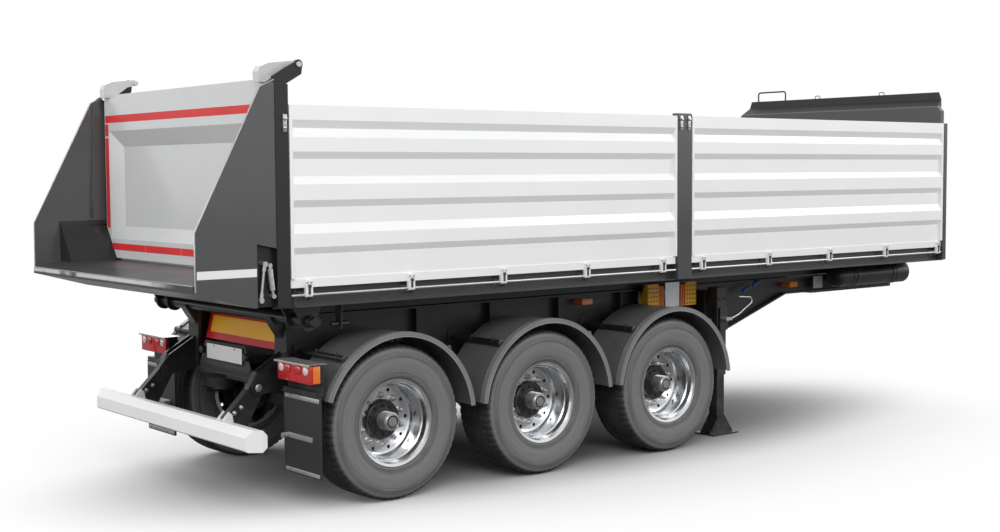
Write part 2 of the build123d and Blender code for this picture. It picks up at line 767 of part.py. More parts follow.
# Air tanks under the front of the bed, one each side
with BuildPart() as air_tanks:
    for side in sides:
        tank_plane = Plane((at(tank_station), side * tank_y, tank_z), (1, 0, 0), (0, -1, 0))
        with BuildSketch(tank_plane):
            Polygon(
                (-tank_length / 2, 0), (-tank_length / 2, 46.0), (-tank_length / 2 + 14.0, 82.0),
                (-tank_length / 2 + 44.0, tank_radius), (tank_length / 2 - 44.0, tank_radius),
                (tank_length / 2 - 14.0, 82.0), (tank_length / 2, 46.0), (tank_length / 2, 0), align=None,
            )
        revolve(axis=Axis(tank_plane.origin, (1, 0, 0)))
        for face in sides:
            strap_x = at(tank_station) + face * tank_length * 0.3
            with BuildSketch(across(strap_x - 20.0)):
                with Locations((side * tank_y, tank_z)):
                    Circle(tank_radius + 3.0)
            extrude(amount=40.0)
            block((strap_x - 20.0, strap_x + 20.0), (side * (beam_y + beam_web / 2), side * tank_y),
                  (tank_z - 60.0, tank_z - 20.0))
save(air_tanks, "air_tanks")

# Orange side marker lamps on brackets from the beams
marker_stations = (2150.0, 4660.0)
marker_z = 1185.0
with BuildPart() as side_markers:
    for station in marker_stations:
        for side in sides:
            with BuildSketch(on_side(side * (beam_y + beam_web / 2))):
                with Locations((at(station), marker_z)):
                    RectangleRounded(110.0, 44.0, 12.0)
            extrude(amount=-side * (beam_flange_width / 2 + 36.0))
save(side_markers, "side_markers")

# Underrun guard: two arms on lugs and a beam with closed, pointed ends
with BuildPart() as underrun_arms:
    for side in sides:
        with BuildSketch(on_side(side * underrun_arm_y)):
            Polygon(
                (at(guard_pivot_station) + 62.0, guard_pivot_z + 88.0),
                (at(guard_pivot_station) + 6.0, guard_pivot_z + 104.0),
                (at(guard_pivot_station) - 62.0, guard_pivot_z - 8.0),
                (at(underrun_front) - 26.0, underrun_bottom_z + underrun_height + 12.0),
                (at(underrun_front) + seat_gap, underrun_bottom_z + underrun_height - 32.0),
                (at(underrun_front) + seat_gap, underrun_bottom_z + 20.0),
                (at(underrun_front) + 130.0, underrun_bottom_z + 64.0),
                (at(guard_pivot_station) + 46.0, guard_pivot_z - 46.0), align=None,
            )
        extrude(amount=underrun_arm_width / 2, both=True)
    with BuildSketch(on_side(0.0)):
        with Locations((at(guard_pivot_station), guard_pivot_z)):
            Circle(20.0)
    extrude(amount=underrun_arm_y + lug_gap / 2 + lug_wall + 12.0, both=True)
    with BuildSketch(on_side(0.0)):
        with Locations((at(guard_pivot_station), guard_pivot_z)):
            Circle(20.0 + 1.0)
    extrude(amount=underrun_arm_y - lug_gap / 2 - lug_wall - 20.0, both=True, mode=Mode.SUBTRACT)
save(underrun_arms, "underrun_arms")

underrun_section = (  # behind the front face, height
    (0.0, 30.0), (0.0, underrun_height - 34.0), (30.0, underrun_height), (74.0, underrun_height),
    (underrun_depth, 92.0), (underrun_depth, 12.0), (underrun_depth - 16.0, 0.0), (34.0, 0.0),
)
underrun_point = 70.0
with BuildPart() as underrun_beam:
    with BuildSketch(on_side(0.0)):
        with Locations((at(underrun_front), underrun_bottom_z)):
            Polygon(*[(-x, z) for x, z in underrun_section], align=None)
    extrude(amount=underrun_half, both=True)
    for side in sides:
        with BuildSketch(Plane.XY.offset(underrun_bottom_z - 1.0)):
            Polygon(
                (at(underrun_front) - underrun_depth - 1.0, side * (underrun_half - underrun_point)),
                (at(underrun_front) - 30.0, side * underrun_half),
                (at(underrun_front) - 30.0, side * (underrun_half + 1.0)),
                (at(underrun_front) - underrun_depth - 1.0, side * (underrun_half + 1.0)), align=None,
            )
        extrude(amount=underrun_height + 2.0, mode=Mode.SUBTRACT)
    for side in sides:
        for face in sides:
            cheek_y = side * underrun_arm_y + face * (underrun_arm_width / 2 + 6.0)
            with BuildSketch(on_side(cheek_y)):
                with Locations((at(underrun_front), underrun_bottom_z + underrun_height)):
                    Polygon(
                        (-60.0, -8.0), (0.0, -40.0), (36.0, -50.0), (24.0, 30.0), (-2.0, 52.0),
                        align=None,
                    )
            extrude(amount=4.0, both=True)
save(underrun_beam, "underrun_beam")

# Bed: floor on cross bearers, runners below, side rails with the dropside hinge rods
floor_bottom_z = floor_top_z - floor_plate
runner_bottom_z = beam_top_z + running_gap
bearer_bottom_z = floor_bottom_z - bearer_depth
with BuildPart() as bed_floor:
    block((at(bed_rear), at(bed_front)), (-rail_face_y, rail_face_y), (floor_bottom_z, floor_top_z))
save(bed_floor, "bed_floor")

runner_wall = 8.0
runner_rear = tip_station + 70.0
bearing_y = (870.0, 1040.0)
bearing_thickness = 24.0
bearing_radius = 66.0
seat_radius = ball_diameter / 2 + 18.0
seat_wall = 14.0
seat_beam = 90.0
seat_skirt = 30.0
seat_top_z = cylinder_top_z + ball_diameter / 2 + 8.0
bearer_span = bed_front - bed_rear - bearer_width
bearer_count = int(round(bearer_span / bearer_pitch)) + 1
with BuildPart() as bed_bearers:
    for i in range(bearer_count):
        bearer_x = at(bed_rear) + bearer_width / 2 + bearer_span * i / (bearer_count - 1)
        with BuildSketch(on_side(0.0)):
            with Locations((bearer_x, floor_bottom_z - bearer_depth / 2)):
                Rectangle(bearer_width, bearer_depth)
            with Locations((bearer_x + bearer_wall, floor_bottom_z - bearer_depth / 2)):
                Rectangle(bearer_width, bearer_depth - 2 * bearer_wall, mode=Mode.SUBTRACT)
        extrude(amount=rail_face_y - rail_wall - seat_gap, both=True)
save(bed_bearers, "bed_bearers")

# Long runners under the bearers, with the cup that takes the cylinder's ball
runner_height = bearer_bottom_z - runner_bottom_z - seat_gap
with BuildPart() as bed_runners:
    for side in sides:
        with BuildSketch(across(at(runner_rear))):
            with Locations((side * runner_y, runner_bottom_z + runner_height / 2)):
                Rectangle(runner_width, runner_height)
                Rectangle(runner_width - 2 * runner_wall, runner_height - 2 * runner_wall, mode=Mode.SUBTRACT)
        extrude(amount=bed_front - runner_rear)
    seat_x = at(cylinder_station)
    block((seat_x - 120.0, seat_x + 120.0), (-runner_y + runner_width / 2, runner_y - runner_width / 2),
          (seat_top_z, seat_top_z + seat_beam))
    with BuildSketch(Plane.XY.offset(seat_top_z)):
        with Locations((seat_x, 0)):
            Circle(seat_radius + seat_wall)
            Circle(seat_radius, mode=Mode.SUBTRACT)
    extrude(amount=-seat_skirt)
save(bed_runners, "bed_runners")

# Tipping bearings on the shaft, and hooks that lock the bed down at the rear
pad_top_z = bearer_bottom_z - seat_gap
with BuildPart() as tip_bearings:
    for side in sides:
        for y in bearing_y:
            with BuildSketch(on_side(side * y)):
                with Locations((at(tip_station), 0)):
                    Polygon(
                        (-170.0, pad_top_z), (-bearing_radius, tip_z + 20.0),
                        (-bearing_radius, tip_z), (bearing_radius, tip_z),
                        (bearing_radius, tip_z + 20.0), (150.0, pad_top_z), align=None,
                    )
                    with Locations((0, tip_z)):
                        Circle(bearing_radius)
                        Circle(tip_shaft_diameter / 2 + pin_clearance, mode=Mode.SUBTRACT)
            extrude(amount=bearing_thickness / 2, both=True)
            block((at(tip_station) - 170.0, at(tip_station) + 150.0), (side * y - 36.0, side * y + 36.0),
                  (pad_top_z - 10.0, pad_top_z))
        lock_x = at(-360.0)
        with BuildSketch(across(lock_x)):
            Polygon(
                (side * 1075.0, pad_top_z), (side * 990.0, pad_top_z),
                (side * 1000.0, 1180.0), (side * 1060.0, 1180.0), align=None,
            )
        extrude(amount=12.0)
        with BuildSketch(across(lock_x - 60.0)):
            with Locations((side * 1030.0, 1215.0)):
                Circle(19.0)
        extrude(amount=130.0)
        block((at(bed_rear) + 5.0, lock_x + 40.0), (side * 985.0, side * 1085.0),
              (pad_top_z - 8.0, pad_top_z))
save(tip_bearings, "tip_bearings")

rail_section = (  # y, z
    (rail_face_y, rail_bottom_z + rail_wall), (rail_face_y, floor_bottom_z),
    (rail_face_y - rail_wall, floor_bottom_z), (rail_face_y - rail_wall, rail_bottom_z),
    (rail_flange_y, rail_bottom_z), (rail_flange_y, rail_bottom_z + rail_wall),
)
rear_post_rear = bed_rear
with BuildPart() as side_rails:
    for side in sides:
        with BuildSketch(across(at(rear_post_rear))):
            Polygon(*[(side * y, z) for y, z in rail_section], align=None)
        extrude(amount=rail_front - rear_post_rear)
save(side_rails, "side_rails")

side_spans = {  # station of each dropside's rear and front end
    "rear": (rear_post_front + side_gap, centre_post_rear - side_gap),
    "front": (centre_post_rear + centre_post_width + side_gap, bed_front - side_gap),
}
side_hinges = {  # station of the first hinge
    "rear": -726.0,
    "front": 2893.0,
}
hinge_count = 5
fork_gap = hinge_knuckle_width / 2 + running_gap
fork_plate = 8.0
with BuildPart() as hinge_rods:
    for name, (span_rear, span_front) in side_spans.items():
        for side in sides:
            with BuildSketch(across(at(span_rear) + 4.0)):
                with Locations((side * hinge_y, hinge_rod_z)):
                    Circle(hinge_rod_diameter / 2)
            extrude(amount=span_front - span_rear - 8.0)
            for i in range(hinge_count):
                for face in sides:
                    fork_x = at(side_hinges[name] + hinge_pitch * i) + face * (fork_gap + fork_plate / 2)
                    with BuildSketch(across(fork_x - fork_plate / 2)):
                        Polygon(
                            (side * rail_face_y, hinge_rod_z - 40.0), (side * rail_face_y, hinge_rod_z + 26.0),
                            (side * hinge_y, hinge_rod_z + 13.0), (side * hinge_y, hinge_rod_z - 13.0),
                            align=None,
                        )
                        with Locations((side * hinge_y, hinge_rod_z)):
                            Circle(13.0)
                    extrude(amount=fork_plate)
save(hinge_rods, "hinge_rods")

# Posts at the rear, between the dropsides and at the front corners
post_foot_z = rail_bottom_z + rail_wall
ear_radius = 30.0
ear_y = gate_arm_y + gate_arm_width / 2 + 42.0
ear_thickness = 20.0
post_face_y = half_width
with BuildPart() as posts:
    for side in sides:
        rear_x = (at(rear_post_rear), at(rear_post_front))
        block(rear_x, (side * rear_post_inner_y, side * post_face_y), (post_foot_z, rear_post_top_z))
        centre_x = (at(centre_post_rear), at(centre_post_rear + centre_post_width))
        with BuildSketch(across(centre_x[0])):
            Polygon(
                (side * rail_face_y, post_foot_z), (side * rail_face_y, floor_top_z),
                (side * (half_width - side_thickness), floor_top_z + 20.0),
                (side * (half_width - side_thickness), centre_post_top_z),
                (side * (post_face_y - 10.0), centre_post_top_z), (side * post_face_y, centre_post_top_z - 12.0),
                (side * post_face_y, post_foot_z), align=None,
            )
        extrude(amount=centre_post_width)
        front_x = (at(bed_front), at(bed_front + wall_thickness))
        block(front_x, (side * rail_face_y, side * post_face_y), (post_foot_z, side_top_z))
        with BuildSketch(on_side(side * (ear_y + ear_thickness / 2))):
            with Locations((at(gate_pivot_station), gate_pivot_z)):
                Polygon(
                    (-189.0, rear_post_top_z - gate_pivot_z), (-189.0, rear_post_top_z - gate_pivot_z + 46.0),
                    (-26.0, 16.0), (26.0, -16.0), (20.0, -60.0), (-96.0, rear_post_top_z - gate_pivot_z),
                    align=None,
                )
                Circle(ear_radius)
                Circle(gate_pin_diameter / 2 + pin_clearance, mode=Mode.SUBTRACT)
        extrude(amount=ear_thickness / 2, both=True)
save(posts, "posts")

# Front wall with a forward-leaning hood and upright ribs in front
wall_bottom_z = rail_bottom_z + rail_wall
wall_x = at(bed_front)
hood_front = at(bed_front + wall_thickness + hood_step - 50.0)
wall_rib = (70.0, 60.0)
wall_rib_pitch = 470.0
with BuildPart() as front_wall:
    with BuildSketch(across(wall_x)):
        Polygon(
            (-rail_face_y + rail_wall, wall_bottom_z), (rail_face_y - rail_wall, wall_bottom_z),
            (rail_face_y - rail_wall, floor_bottom_z), (rail_face_y, floor_bottom_z),
            (rail_face_y, side_top_z), (wall_half_width, side_top_z),
            (wall_half_width, wall_top_z - 40.0), (wall_half_width - 40.0, wall_top_z),
            (-wall_half_width + 40.0, wall_top_z), (-wall_half_width, wall_top_z - 40.0),
            (-wall_half_width, side_top_z), (-rail_face_y, side_top_z), (-rail_face_y, floor_bottom_z),
            (-rail_face_y + rail_wall, floor_bottom_z), align=None,
        )
    extrude(amount=wall_thickness)
    with BuildSketch(on_side(0.0)):
        Polygon(
            (wall_x, wall_top_z - 30.0), (wall_x, wall_top_z), (hood_front, hood_band_top_z),
            (hood_front, hood_lip_top_z), (hood_front + hood_plate, hood_lip_top_z),
            (hood_front + hood_plate, hood_band_top_z - 4.0),
            (wall_x + wall_thickness, wall_top_z - 30.0), align=None,
        )
    extrude(amount=wall_half_width - 40.0, both=True)
    for side in sides:
        with BuildSketch(across(wall_x - 1.0)):
            Polygon(
                (side * (wall_half_width - 40.0), wall_top_z), (side * hood_half_width, hood_lip_top_z),
                (side * hood_half_width, hood_lip_top_z + 5.0), (side * half_width, hood_lip_top_z + 5.0),
                (side * half_width, wall_top_z), align=None,
            )
        extrude(amount=hood_step + wall_thickness + 20.0, mode=Mode.SUBTRACT)
    for i in range(-2, 3):
        with BuildSketch(Plane.XY.offset(wall_bottom_z)):
            with Locations((wall_x + wall_thickness + wall_rib[1] / 2, i * wall_rib_pitch)):
                Rectangle(wall_rib[1], wall_rib[0])
        extrude(amount=wall_top_z - 100.0 - wall_bottom_z)
    front_face = wall_x + wall_thickness
    block((front_face, front_face + wall_rib[1]), (-wall_half_width + 60.0, wall_half_width - 60.0),
          (wall_bottom_z, wall_bottom_z + 90.0))
save(front_wall, "front_wall")

hoop_tube = 16.0
hoop_y = (700.0, hood_half_width - 81.0)
hoop_top_z = hood_lip_top_z + 92.0
loop_tube = 8.0
loop_table = (  # y, foot z, rise
    (281.0, hood_lip_top_z - 20.0, 46.0), (-495.0, hood_lip_top_z - 20.0, 46.0),
)
with BuildPart() as wall_hoops:
    hoops = [(hoop_y[0], hoop_y[1], hood_lip_top_z - 60.0, hoop_top_z, hoop_tube, 26.0)]
    hoops += [(y - 28.0, y + 28.0, foot, foot + rise, loop_tube, 10.0) for y, foot, rise in loop_table]
    for low_y, high_y, foot_z, top_z, tube, bend in hoops:
        x = hood_front + hood_plate + tube / 2
        with BuildLine() as hoop_line:
            FilletPolyline(
                (x, low_y, foot_z), (x, low_y, top_z), (x, high_y, top_z), (x, high_y, foot_z), radius=bend,
            )
        with BuildSketch(Plane(hoop_line.line @ 0, z_dir=hoop_line.line % 0)):
            Circle(tube / 2)
        sweep(path=hoop_line.line)
save(wall_hoops, "wall_hoops")

# Chute: folded floor between two tall side plates
chute_inner_y = half_width - 5.0 - chute_plate
chute_sheet = 6.0
with BuildPart() as chute_floor:
    with BuildSketch(on_side(0.0)):
        chute_outline = [
            (at(bed_rear), floor_top_z), (at(deflector_rear), floor_top_z),
            (at(-rear_overhang), chute_lip_top_z), (at(-rear_overhang), chute_lip_bottom_z),
            (at(chute_keel), chute_keel_z), (at(bed_rear), chute_keel_z),
        ]
        Polygon(*chute_outline, align=None)
        offset(amount=-chute_sheet, mode=Mode.SUBTRACT)
    extrude(amount=chute_inner_y, both=True)
    for side in sides:
        block((at(lock_bay_rear), at(bed_rear) + 1.0), (side * rear_post_inner_y, side * half_width),
              (chute_keel_z - 1.0, floor_top_z + 1.0), Mode.SUBTRACT)
save(chute_floor, "chute_floor")

plate_rear = -rear_overhang + 12.0
with BuildPart() as chute_plates:
    for side in sides:
        with BuildSketch(on_side(side * (chute_inner_y + chute_plate / 2))):
            Polygon(
                (at(plate_rear), chute_lip_bottom_z), (at(plate_rear), chute_knuckle_z),
                (at(chute_top_rear), chute_top_rear_z), (at(bed_rear) - 30.0, chute_top_z),
                (at(bed_rear), chute_top_z - 26.0), (at(bed_rear), lock_bay_top_z - 30.0),
                (at(lock_bay_rear), lock_bay_top_z), (at(lock_bay_rear), chute_keel_z),
                (at(chute_keel), chute_keel_z), align=None,
            )
        extrude(amount=chute_plate / 2, both=True)
        with BuildSketch(on_side(side * (rear_post_inner_y + 3.0))):
            Polygon(
                (at(lock_bay_rear) - 20.0, lock_bay_top_z + 20.0), (at(bed_rear), lock_bay_top_z - 10.0),
                (at(bed_rear), chute_keel_z), (at(lock_bay_rear), chute_keel_z),
                (at(lock_bay_rear), floor_top_z), (at(lock_bay_rear) - 20.0, floor_top_z), align=None,
            )
        extrude(amount=3.0, both=True)
        with BuildSketch(across(at(deflector_rear))):
            Polygon(
                (side * chute_inner_y, floor_top_z + deflector_height), (side * chute_inner_y, floor_top_z),
                (side * (chute_inner_y - deflector_reach), floor_top_z), align=None,
            )
        extrude(amount=bed_rear - deflector_rear)
        block((at(lock_bay_rear), at(bed_rear) + 1.0), (side * (rear_post_inner_y + 6.0), side * chute_inner_y),
              (chute_keel_z - 1.0, lock_bay_top_z + 60.0), Mode.SUBTRACT)
        with BuildSketch(on_side(side * (chute_inner_y - 12.0))):
            Polygon(
                (at(chute_top_rear) - 20.0, lock_bay_top_z + 110.0), (at(chute_top_rear) + 14.0, chute_top_rear_z - 10.0),
                (at(chute_top_rear) + 22.0, chute_top_rear_z - 10.0), (at(chute_top_rear) - 12.0, lock_bay_top_z + 110.0),
                align=None,
            )
        extrude(amount=12.0, both=True)
save(chute_plates, "chute_plates")

# Gate locks in the bays at the foot of the side plates
lock_y = half_width - 22.0
lock_rods = (  # foot station and z, head station and z, lengths along the rod: from, to, radius
    (-1062.0, 1425.0, -1034.0, 1650.0, ((0.0, 1.0, 9.0), (0.03, 0.2, 14.0), (0.8, 0.96, 14.0))),
    (-975.0, 1447.0, -1000.0, 1640.0, ((0.0, 1.0, 10.0), (0.2, 0.9, 19.0))),
)
lock_bosses = (  # station, z, radius
    (-1062.0, 1425.0, 17.0), (-1034.0, 1650.0, 18.0), (-975.0, 1447.0, 15.0), (-1000.0, 1640.0, 15.0),
)
lock_rod_facets = 12
lock_boss_length = lock_y + 14.0 - rear_post_inner_y - 6.0
with BuildPart() as gate_locks:
    for side in sides:
        for foot, foot_z, head, head_z, lengths in lock_rods:
            start = Vector(at(foot), side * lock_y, foot_z)
            run = Vector(at(head), side * lock_y, head_z) - start
            for share_from, share_to, radius in lengths:
                with BuildSketch(Plane(start + run * share_from, z_dir=run)):
                    RegularPolygon(radius, lock_rod_facets)
                extrude(amount=run.length * (share_to - share_from))
        for station, z, radius in lock_bosses:
            with BuildSketch(on_side(side * (rear_post_inner_y + 6.0))):
                with Locations((at(station), z)):
                    RegularPolygon(radius, lock_rod_facets)
            extrude(amount=-side * lock_boss_length)
save(gate_locks, "gate_locks")

# Dropsides: pressed panels, the grooves stopped by a flat band at each end
def dropside(name, side):
    """One dropside, its knuckles round the hinge rod."""
    span_rear, span_front = side_spans[name]
    outline = [(side * (half_width - depth * side_groove), z) for z, depth in side_profile]
    inner_y = side * (half_width - side_thickness)
    outline += [(inner_y, side_bottom_z), (inner_y, side_top_z)]
    with BuildPart() as panel:
        with BuildSketch(across(at(span_rear))):
            Polygon(*outline, align=None)
        extrude(amount=span_front - span_rear)
        for end in (at(span_rear), at(span_front) - side_end_band):
            block((end, end + side_end_band), (inner_y, side * half_width), (side_bottom_z + 59.0, side_top_z))
        for i in range(hinge_count):
            knuckle_x = at(side_hinges[name] + hinge_pitch * i) - hinge_knuckle_width / 2
            with BuildSketch(across(knuckle_x)):
                with Locations((side * hinge_y, hinge_rod_z)):
                    Circle(hinge_knuckle_diameter / 2)
                Polygon(
                    (side * (hinge_y - 8.0), hinge_rod_z), (side * (hinge_y + 15.0), hinge_rod_z),
                    (side * (hinge_y + 15.0), side_bottom_z + 48.0),
                    (side * (half_width - 0.75 * side_groove - 1.0), side_bottom_z + 48.0),
                    (side * (half_width - 0.75 * side_groove - 1.0), side_bottom_z - 4.0),
                    (side * (hinge_y - 8.0), side_bottom_z - 4.0), align=None,
                )
                with Locations((side * hinge_y, hinge_rod_z)):
                    Circle(hinge_rod_diameter / 2 + pin_clearance, mode=Mode.SUBTRACT)
            extrude(amount=hinge_knuckle_width)
    return panel


for span_name in side_spans:
    for side, side_name in ((1, "left"), (-1, "right")):
        save(dropside(span_name, side), "dropside_" + span_name + "_" + side_name)

# Tailgate: a pressed pan hung from two top arms
gate_corner_gap = 9.0
corner_slope = deflector_height / deflector_reach
corner_low_y = chute_inner_y - deflector_reach - gate_corner_gap
corner_start_y = corner_low_y + (gate_bottom_z - floor_top_z) / corner_slope
corner_end_z = gate_bottom_z + (gate_half_width - corner_start_y) * corner_slope
with BuildPart() as tailgate:
    with BuildSketch(across(at(gate_face))):
        gate_outline = [
            (gate_half_width, corner_end_z), (gate_half_width, gate_top_z),
            (-gate_half_width, gate_top_z), (-gate_half_width, corner_end_z),
            (-corner_start_y, gate_bottom_z), (corner_start_y, gate_bottom_z),
        ]
        Polygon(*gate_outline, align=None)
    extrude(amount=gate_depth)
    rim_half, rim_low, rim_high = gate_rim
    pan_half, pan_low, pan_high = gate_pan
    with BuildSketch(across(at(gate_face))):
        with Locations((0, (rim_low + rim_high) / 2)):
            Rectangle(2 * rim_half, rim_high - rim_low)
    with BuildSketch(across(at(gate_face) + gate_recess)):
        with Locations((0, (pan_low + pan_high) / 2)):
            Rectangle(2 * pan_half, pan_high - pan_low)
    loft(mode=Mode.SUBTRACT)
    for side in sides:
        with BuildSketch(on_side(side * gate_arm_y)):
            with BuildLine():
                Polyline(
                    (at(gate_pivot_station) + 22.0, gate_pivot_z - 14.0), (at(gate_pivot_station) - 60.0, gate_pivot_z - 30.0),
                    (at(gate_face) + gate_depth, gate_top_z + 4.0), (at(gate_face) + gate_depth, gate_top_z - 20.0),
                    (at(gate_face), gate_top_z - 20.0), (at(gate_face) - 44.0, gate_top_z - 20.0),
                    (at(gate_face) - 48.0, gate_top_z + 44.0),
                )
                Line((at(gate_face) - 48.0, gate_top_z + 44.0), (at(gate_face) - 28.0, gate_top_z + 80.0))
                Line((at(gate_face) - 28.0, gate_top_z + 80.0), (at(gate_face) + 20.0, gate_top_z + 98.0))
                Line((at(gate_face) + 20.0, gate_top_z + 98.0), (at(gate_pivot_station), gate_pivot_z + 26.0))
                Line((at(gate_pivot_station), gate_pivot_z + 26.0), (at(gate_pivot_station) + 22.0, gate_pivot_z - 14.0))
            make_face()
        extrude(amount=gate_arm_width / 2, both=True)
        with BuildSketch(on_side(side * (gate_arm_y - gate_arm_width / 2 - 20.0))):
            with Locations((at(gate_pivot_station), gate_pivot_z)):
                Circle(gate_pin_diameter / 2)
        extrude(amount=-side * (ear_y + ear_thickness + 12.0 - gate_arm_y + gate_arm_width / 2 + 20.0))
save(tailgate, "tailgate")

# Telescopic cylinder: barrel on trunnions, nested stages, ball end under the bed
barrel_top_z = cylinder_bottom_z + cylinder_length
stage_wall = 7.0
collar_rise = 10.0
stage_radii = [stage_outer_radius - i * stage_step for i in range(stage_count)]


def turned(station, points):
    """An upright turned piece: its half section as radius and z."""
    plane = Plane((at(station), 0, 0), (1, 0, 0), (0, -1, 0))
    with BuildPart() as piece:
        with BuildSketch(plane):
            Polygon(*points, align=None)
        revolve(axis=Axis(plane.origin, (0, 0, 1)))
    return piece


barrel_bore = stage_outer_radius + 3.0
barrel = turned(cylinder_station, [
    (0, cylinder_bottom_z), (barrel_radius - 16.0, cylinder_bottom_z),
    (barrel_radius, cylinder_bottom_z + 16.0), (barrel_radius, barrel_top_z - 70.0),
    (barrel_radius + 8.0, barrel_top_z - 60.0), (barrel_radius + 8.0, barrel_top_z),
    (barrel_bore, barrel_top_z), (barrel_bore, cylinder_bottom_z + 30.0), (0, cylinder_bottom_z + 30.0),
])
with BuildPart() as cylinder_barrel:
    add(barrel.part)
    for side in sides:
        with BuildSketch(on_side(side * (barrel_radius - 4.0))):
            with Locations((at(cylinder_station), cylinder_pivot_z)):
                Circle(trunnion_diameter / 2)
        extrude(amount=-side * (trunnion_inner_y + trunnion_reach - barrel_radius + 4.0))
        with BuildSketch(on_side(side * (barrel_radius - 4.0))):
            with Locations((at(cylinder_station), cylinder_pivot_z)):
                Circle(trunnion_diameter / 2 + 16.0)
        extrude(amount=-side * (trunnion_inner_y - 6.0 - barrel_radius + 4.0))
save(cylinder_barrel, "cylinder_barrel")

for i, radius in enumerate(stage_radii):
    low = cylinder_bottom_z + 36.0 + 8.0 * i
    high = barrel_top_z + collar_rise * (i + 1)
    if i < stage_count - 1:
        bore = radius - stage_wall
        stage = turned(cylinder_station, [
            (bore, low), (radius, low), (radius, high), (bore, high),
        ])
    else:
        ball = ball_diameter / 2
        stage = turned(cylinder_station, [
            (0, low), (radius, low), (radius, high), (30.0, high), (30.0, cylinder_top_z - 37.0),
            (ball - 4.0, cylinder_top_z - 20.0), (ball, cylinder_top_z), (ball - 8.0, cylinder_top_z + 26.0),
            (ball - 26.0, cylinder_top_z + 43.0), (0, cylinder_top_z + ball),
        ])
    save(stage, "cylinder_stage_" + str(i + 1))

# Wheels: wide single tyres on deep discs, hub and drum turning with them
tyre_section = (  # y from the wheel's centre plane, radius
    (-149.0, 282.5), (-149.5, 299.5), (-168.0, 303.0), (-184.0, 350.0), (-192.5, 410.0), (-190.0, 456.0),
    (-178.0, 496.0), (-160.0, 520.0), (-140.0, 527.0), (0.0, 530.0),
)
rim_edge = rim_flange_diameter / 2
rim_seat = rim_seat_diameter / 2
disc_face = disc_offset + disc_thickness
hub_radius = hub_diameter / 2
hub_face = disc_face + 31.0
cap_radius = hub_cap_diameter / 2
drum_radius = drum_diameter / 2
spindle_bore = spindle_diameter / 2 + pin_clearance
rim_section = (  # outward from the wheel's centre plane, radius
    (-166.0, rim_seat - 12.0), (-166.0, rim_edge), (-151.0, rim_edge), (-150.0, rim_seat),
    (150.0, rim_seat), (151.0, rim_edge), (165.0, rim_edge), (161.0, rim_seat - 2.0),
    (146.0, rim_seat - 12.0), (112.0, rim_seat - 20.0), (104.0, rim_seat - 27.0),
    (disc_face + 24.0, rim_seat - 32.0), (disc_face + 8.0, rim_seat - 42.0), (disc_face, disc_diameter / 2),
    (disc_face, hub_radius), (hub_face - 5.0, hub_radius - 2.0), (hub_face, hub_radius - 8.0),
    (hub_face, cap_radius + 12.0), (hub_face + 8.0, cap_radius + 4.0), (hub_cap_end - 12.0, cap_radius),
    (hub_cap_end, cap_radius - 8.0), (hub_cap_end, 0.0), (spindle_end_y + 6.0 - wheel_y, 0.0),
    (spindle_end_y + 6.0 - wheel_y, spindle_bore), (hub_inner_y - wheel_y, spindle_bore),
    (hub_inner_y - wheel_y, drum_radius), (disc_offset - 16.0, drum_radius),
    (disc_offset - 14.0, drum_radius - 24.0), (disc_offset, drum_radius - 24.0),
    (disc_offset, rim_seat - 38.0), (disc_offset - 22.0, rim_seat - 24.0),
)


def wheel_part(station, side, section):
    """A turned wheel piece standing at an axle station."""
    plane = Plane((at(station), side * wheel_y, axle_z), (0, side, 0), (side, 0, 0))
    with BuildPart() as piece:
        with BuildSketch(plane):
            Polygon(*section, align=None)
        revolve(axis=Axis(plane.origin, (0, 1, 0)))
    return piece


tyre_outline = list(tyre_section) + [(-y, r) for y, r in reversed(tyre_section[:-1])]
for number, station in enumerate(axle_stations, start=1):
    for side, side_name in ((1, "left"), (-1, "right")):
        name = str(number) + "_" + side_name
        tyre = wheel_part(station, side, tyre_outline)
        save(tyre, "tyre_" + name)
        rim = wheel_part(station, side, rim_section)
        with BuildPart() as wheel_rim:
            add(rim.part)
            hole_plane = Plane((at(station), side * (wheel_y + disc_offset - 1.0), axle_z), (1, 0, 0), (0, side, 0))
            with BuildSketch(hole_plane):
                with PolarLocations(hand_hole_circle / 2, hand_hole_count):
                    Circle(hand_hole_diameter / 2)
            extrude(amount=disc_thickness + 2.0, mode=Mode.SUBTRACT)
        save(wheel_rim, "rim_" + name)
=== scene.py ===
"""Finish and small fittings of a three-axle tipper semi-trailer, in the frame of its solid parts."""

import math

import bmesh
import bpy
from mathutils import Matrix, Vector


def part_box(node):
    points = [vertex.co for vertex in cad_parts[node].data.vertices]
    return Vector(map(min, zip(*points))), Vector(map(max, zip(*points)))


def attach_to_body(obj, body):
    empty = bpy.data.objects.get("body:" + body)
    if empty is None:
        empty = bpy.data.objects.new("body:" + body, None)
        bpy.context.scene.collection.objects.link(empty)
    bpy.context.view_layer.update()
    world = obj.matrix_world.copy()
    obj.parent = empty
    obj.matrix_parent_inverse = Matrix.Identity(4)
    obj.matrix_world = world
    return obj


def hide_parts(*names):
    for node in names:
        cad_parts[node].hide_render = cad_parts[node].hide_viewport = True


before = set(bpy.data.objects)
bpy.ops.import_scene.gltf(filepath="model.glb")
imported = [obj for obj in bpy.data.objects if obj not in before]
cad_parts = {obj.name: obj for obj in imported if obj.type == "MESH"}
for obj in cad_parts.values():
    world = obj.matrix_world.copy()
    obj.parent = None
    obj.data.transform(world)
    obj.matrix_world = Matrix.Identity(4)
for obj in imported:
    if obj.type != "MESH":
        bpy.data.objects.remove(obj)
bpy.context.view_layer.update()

bl_info = {
    "name": "Tipper semi-trailer finish",
    "version": (1, 0, 0),
    "blender": (4, 5, 0),
    "location": "3D View > Sidebar > Trailer",
    "description": "Paints the trailer's parts and adds its tyres, lamps, tape and small fittings",
    "category": "Object",
}

SIDES = (1, -1)
SIDE_NAMES = {1: "left", -1: "right"}
AXLES = ("1", "2", "3")


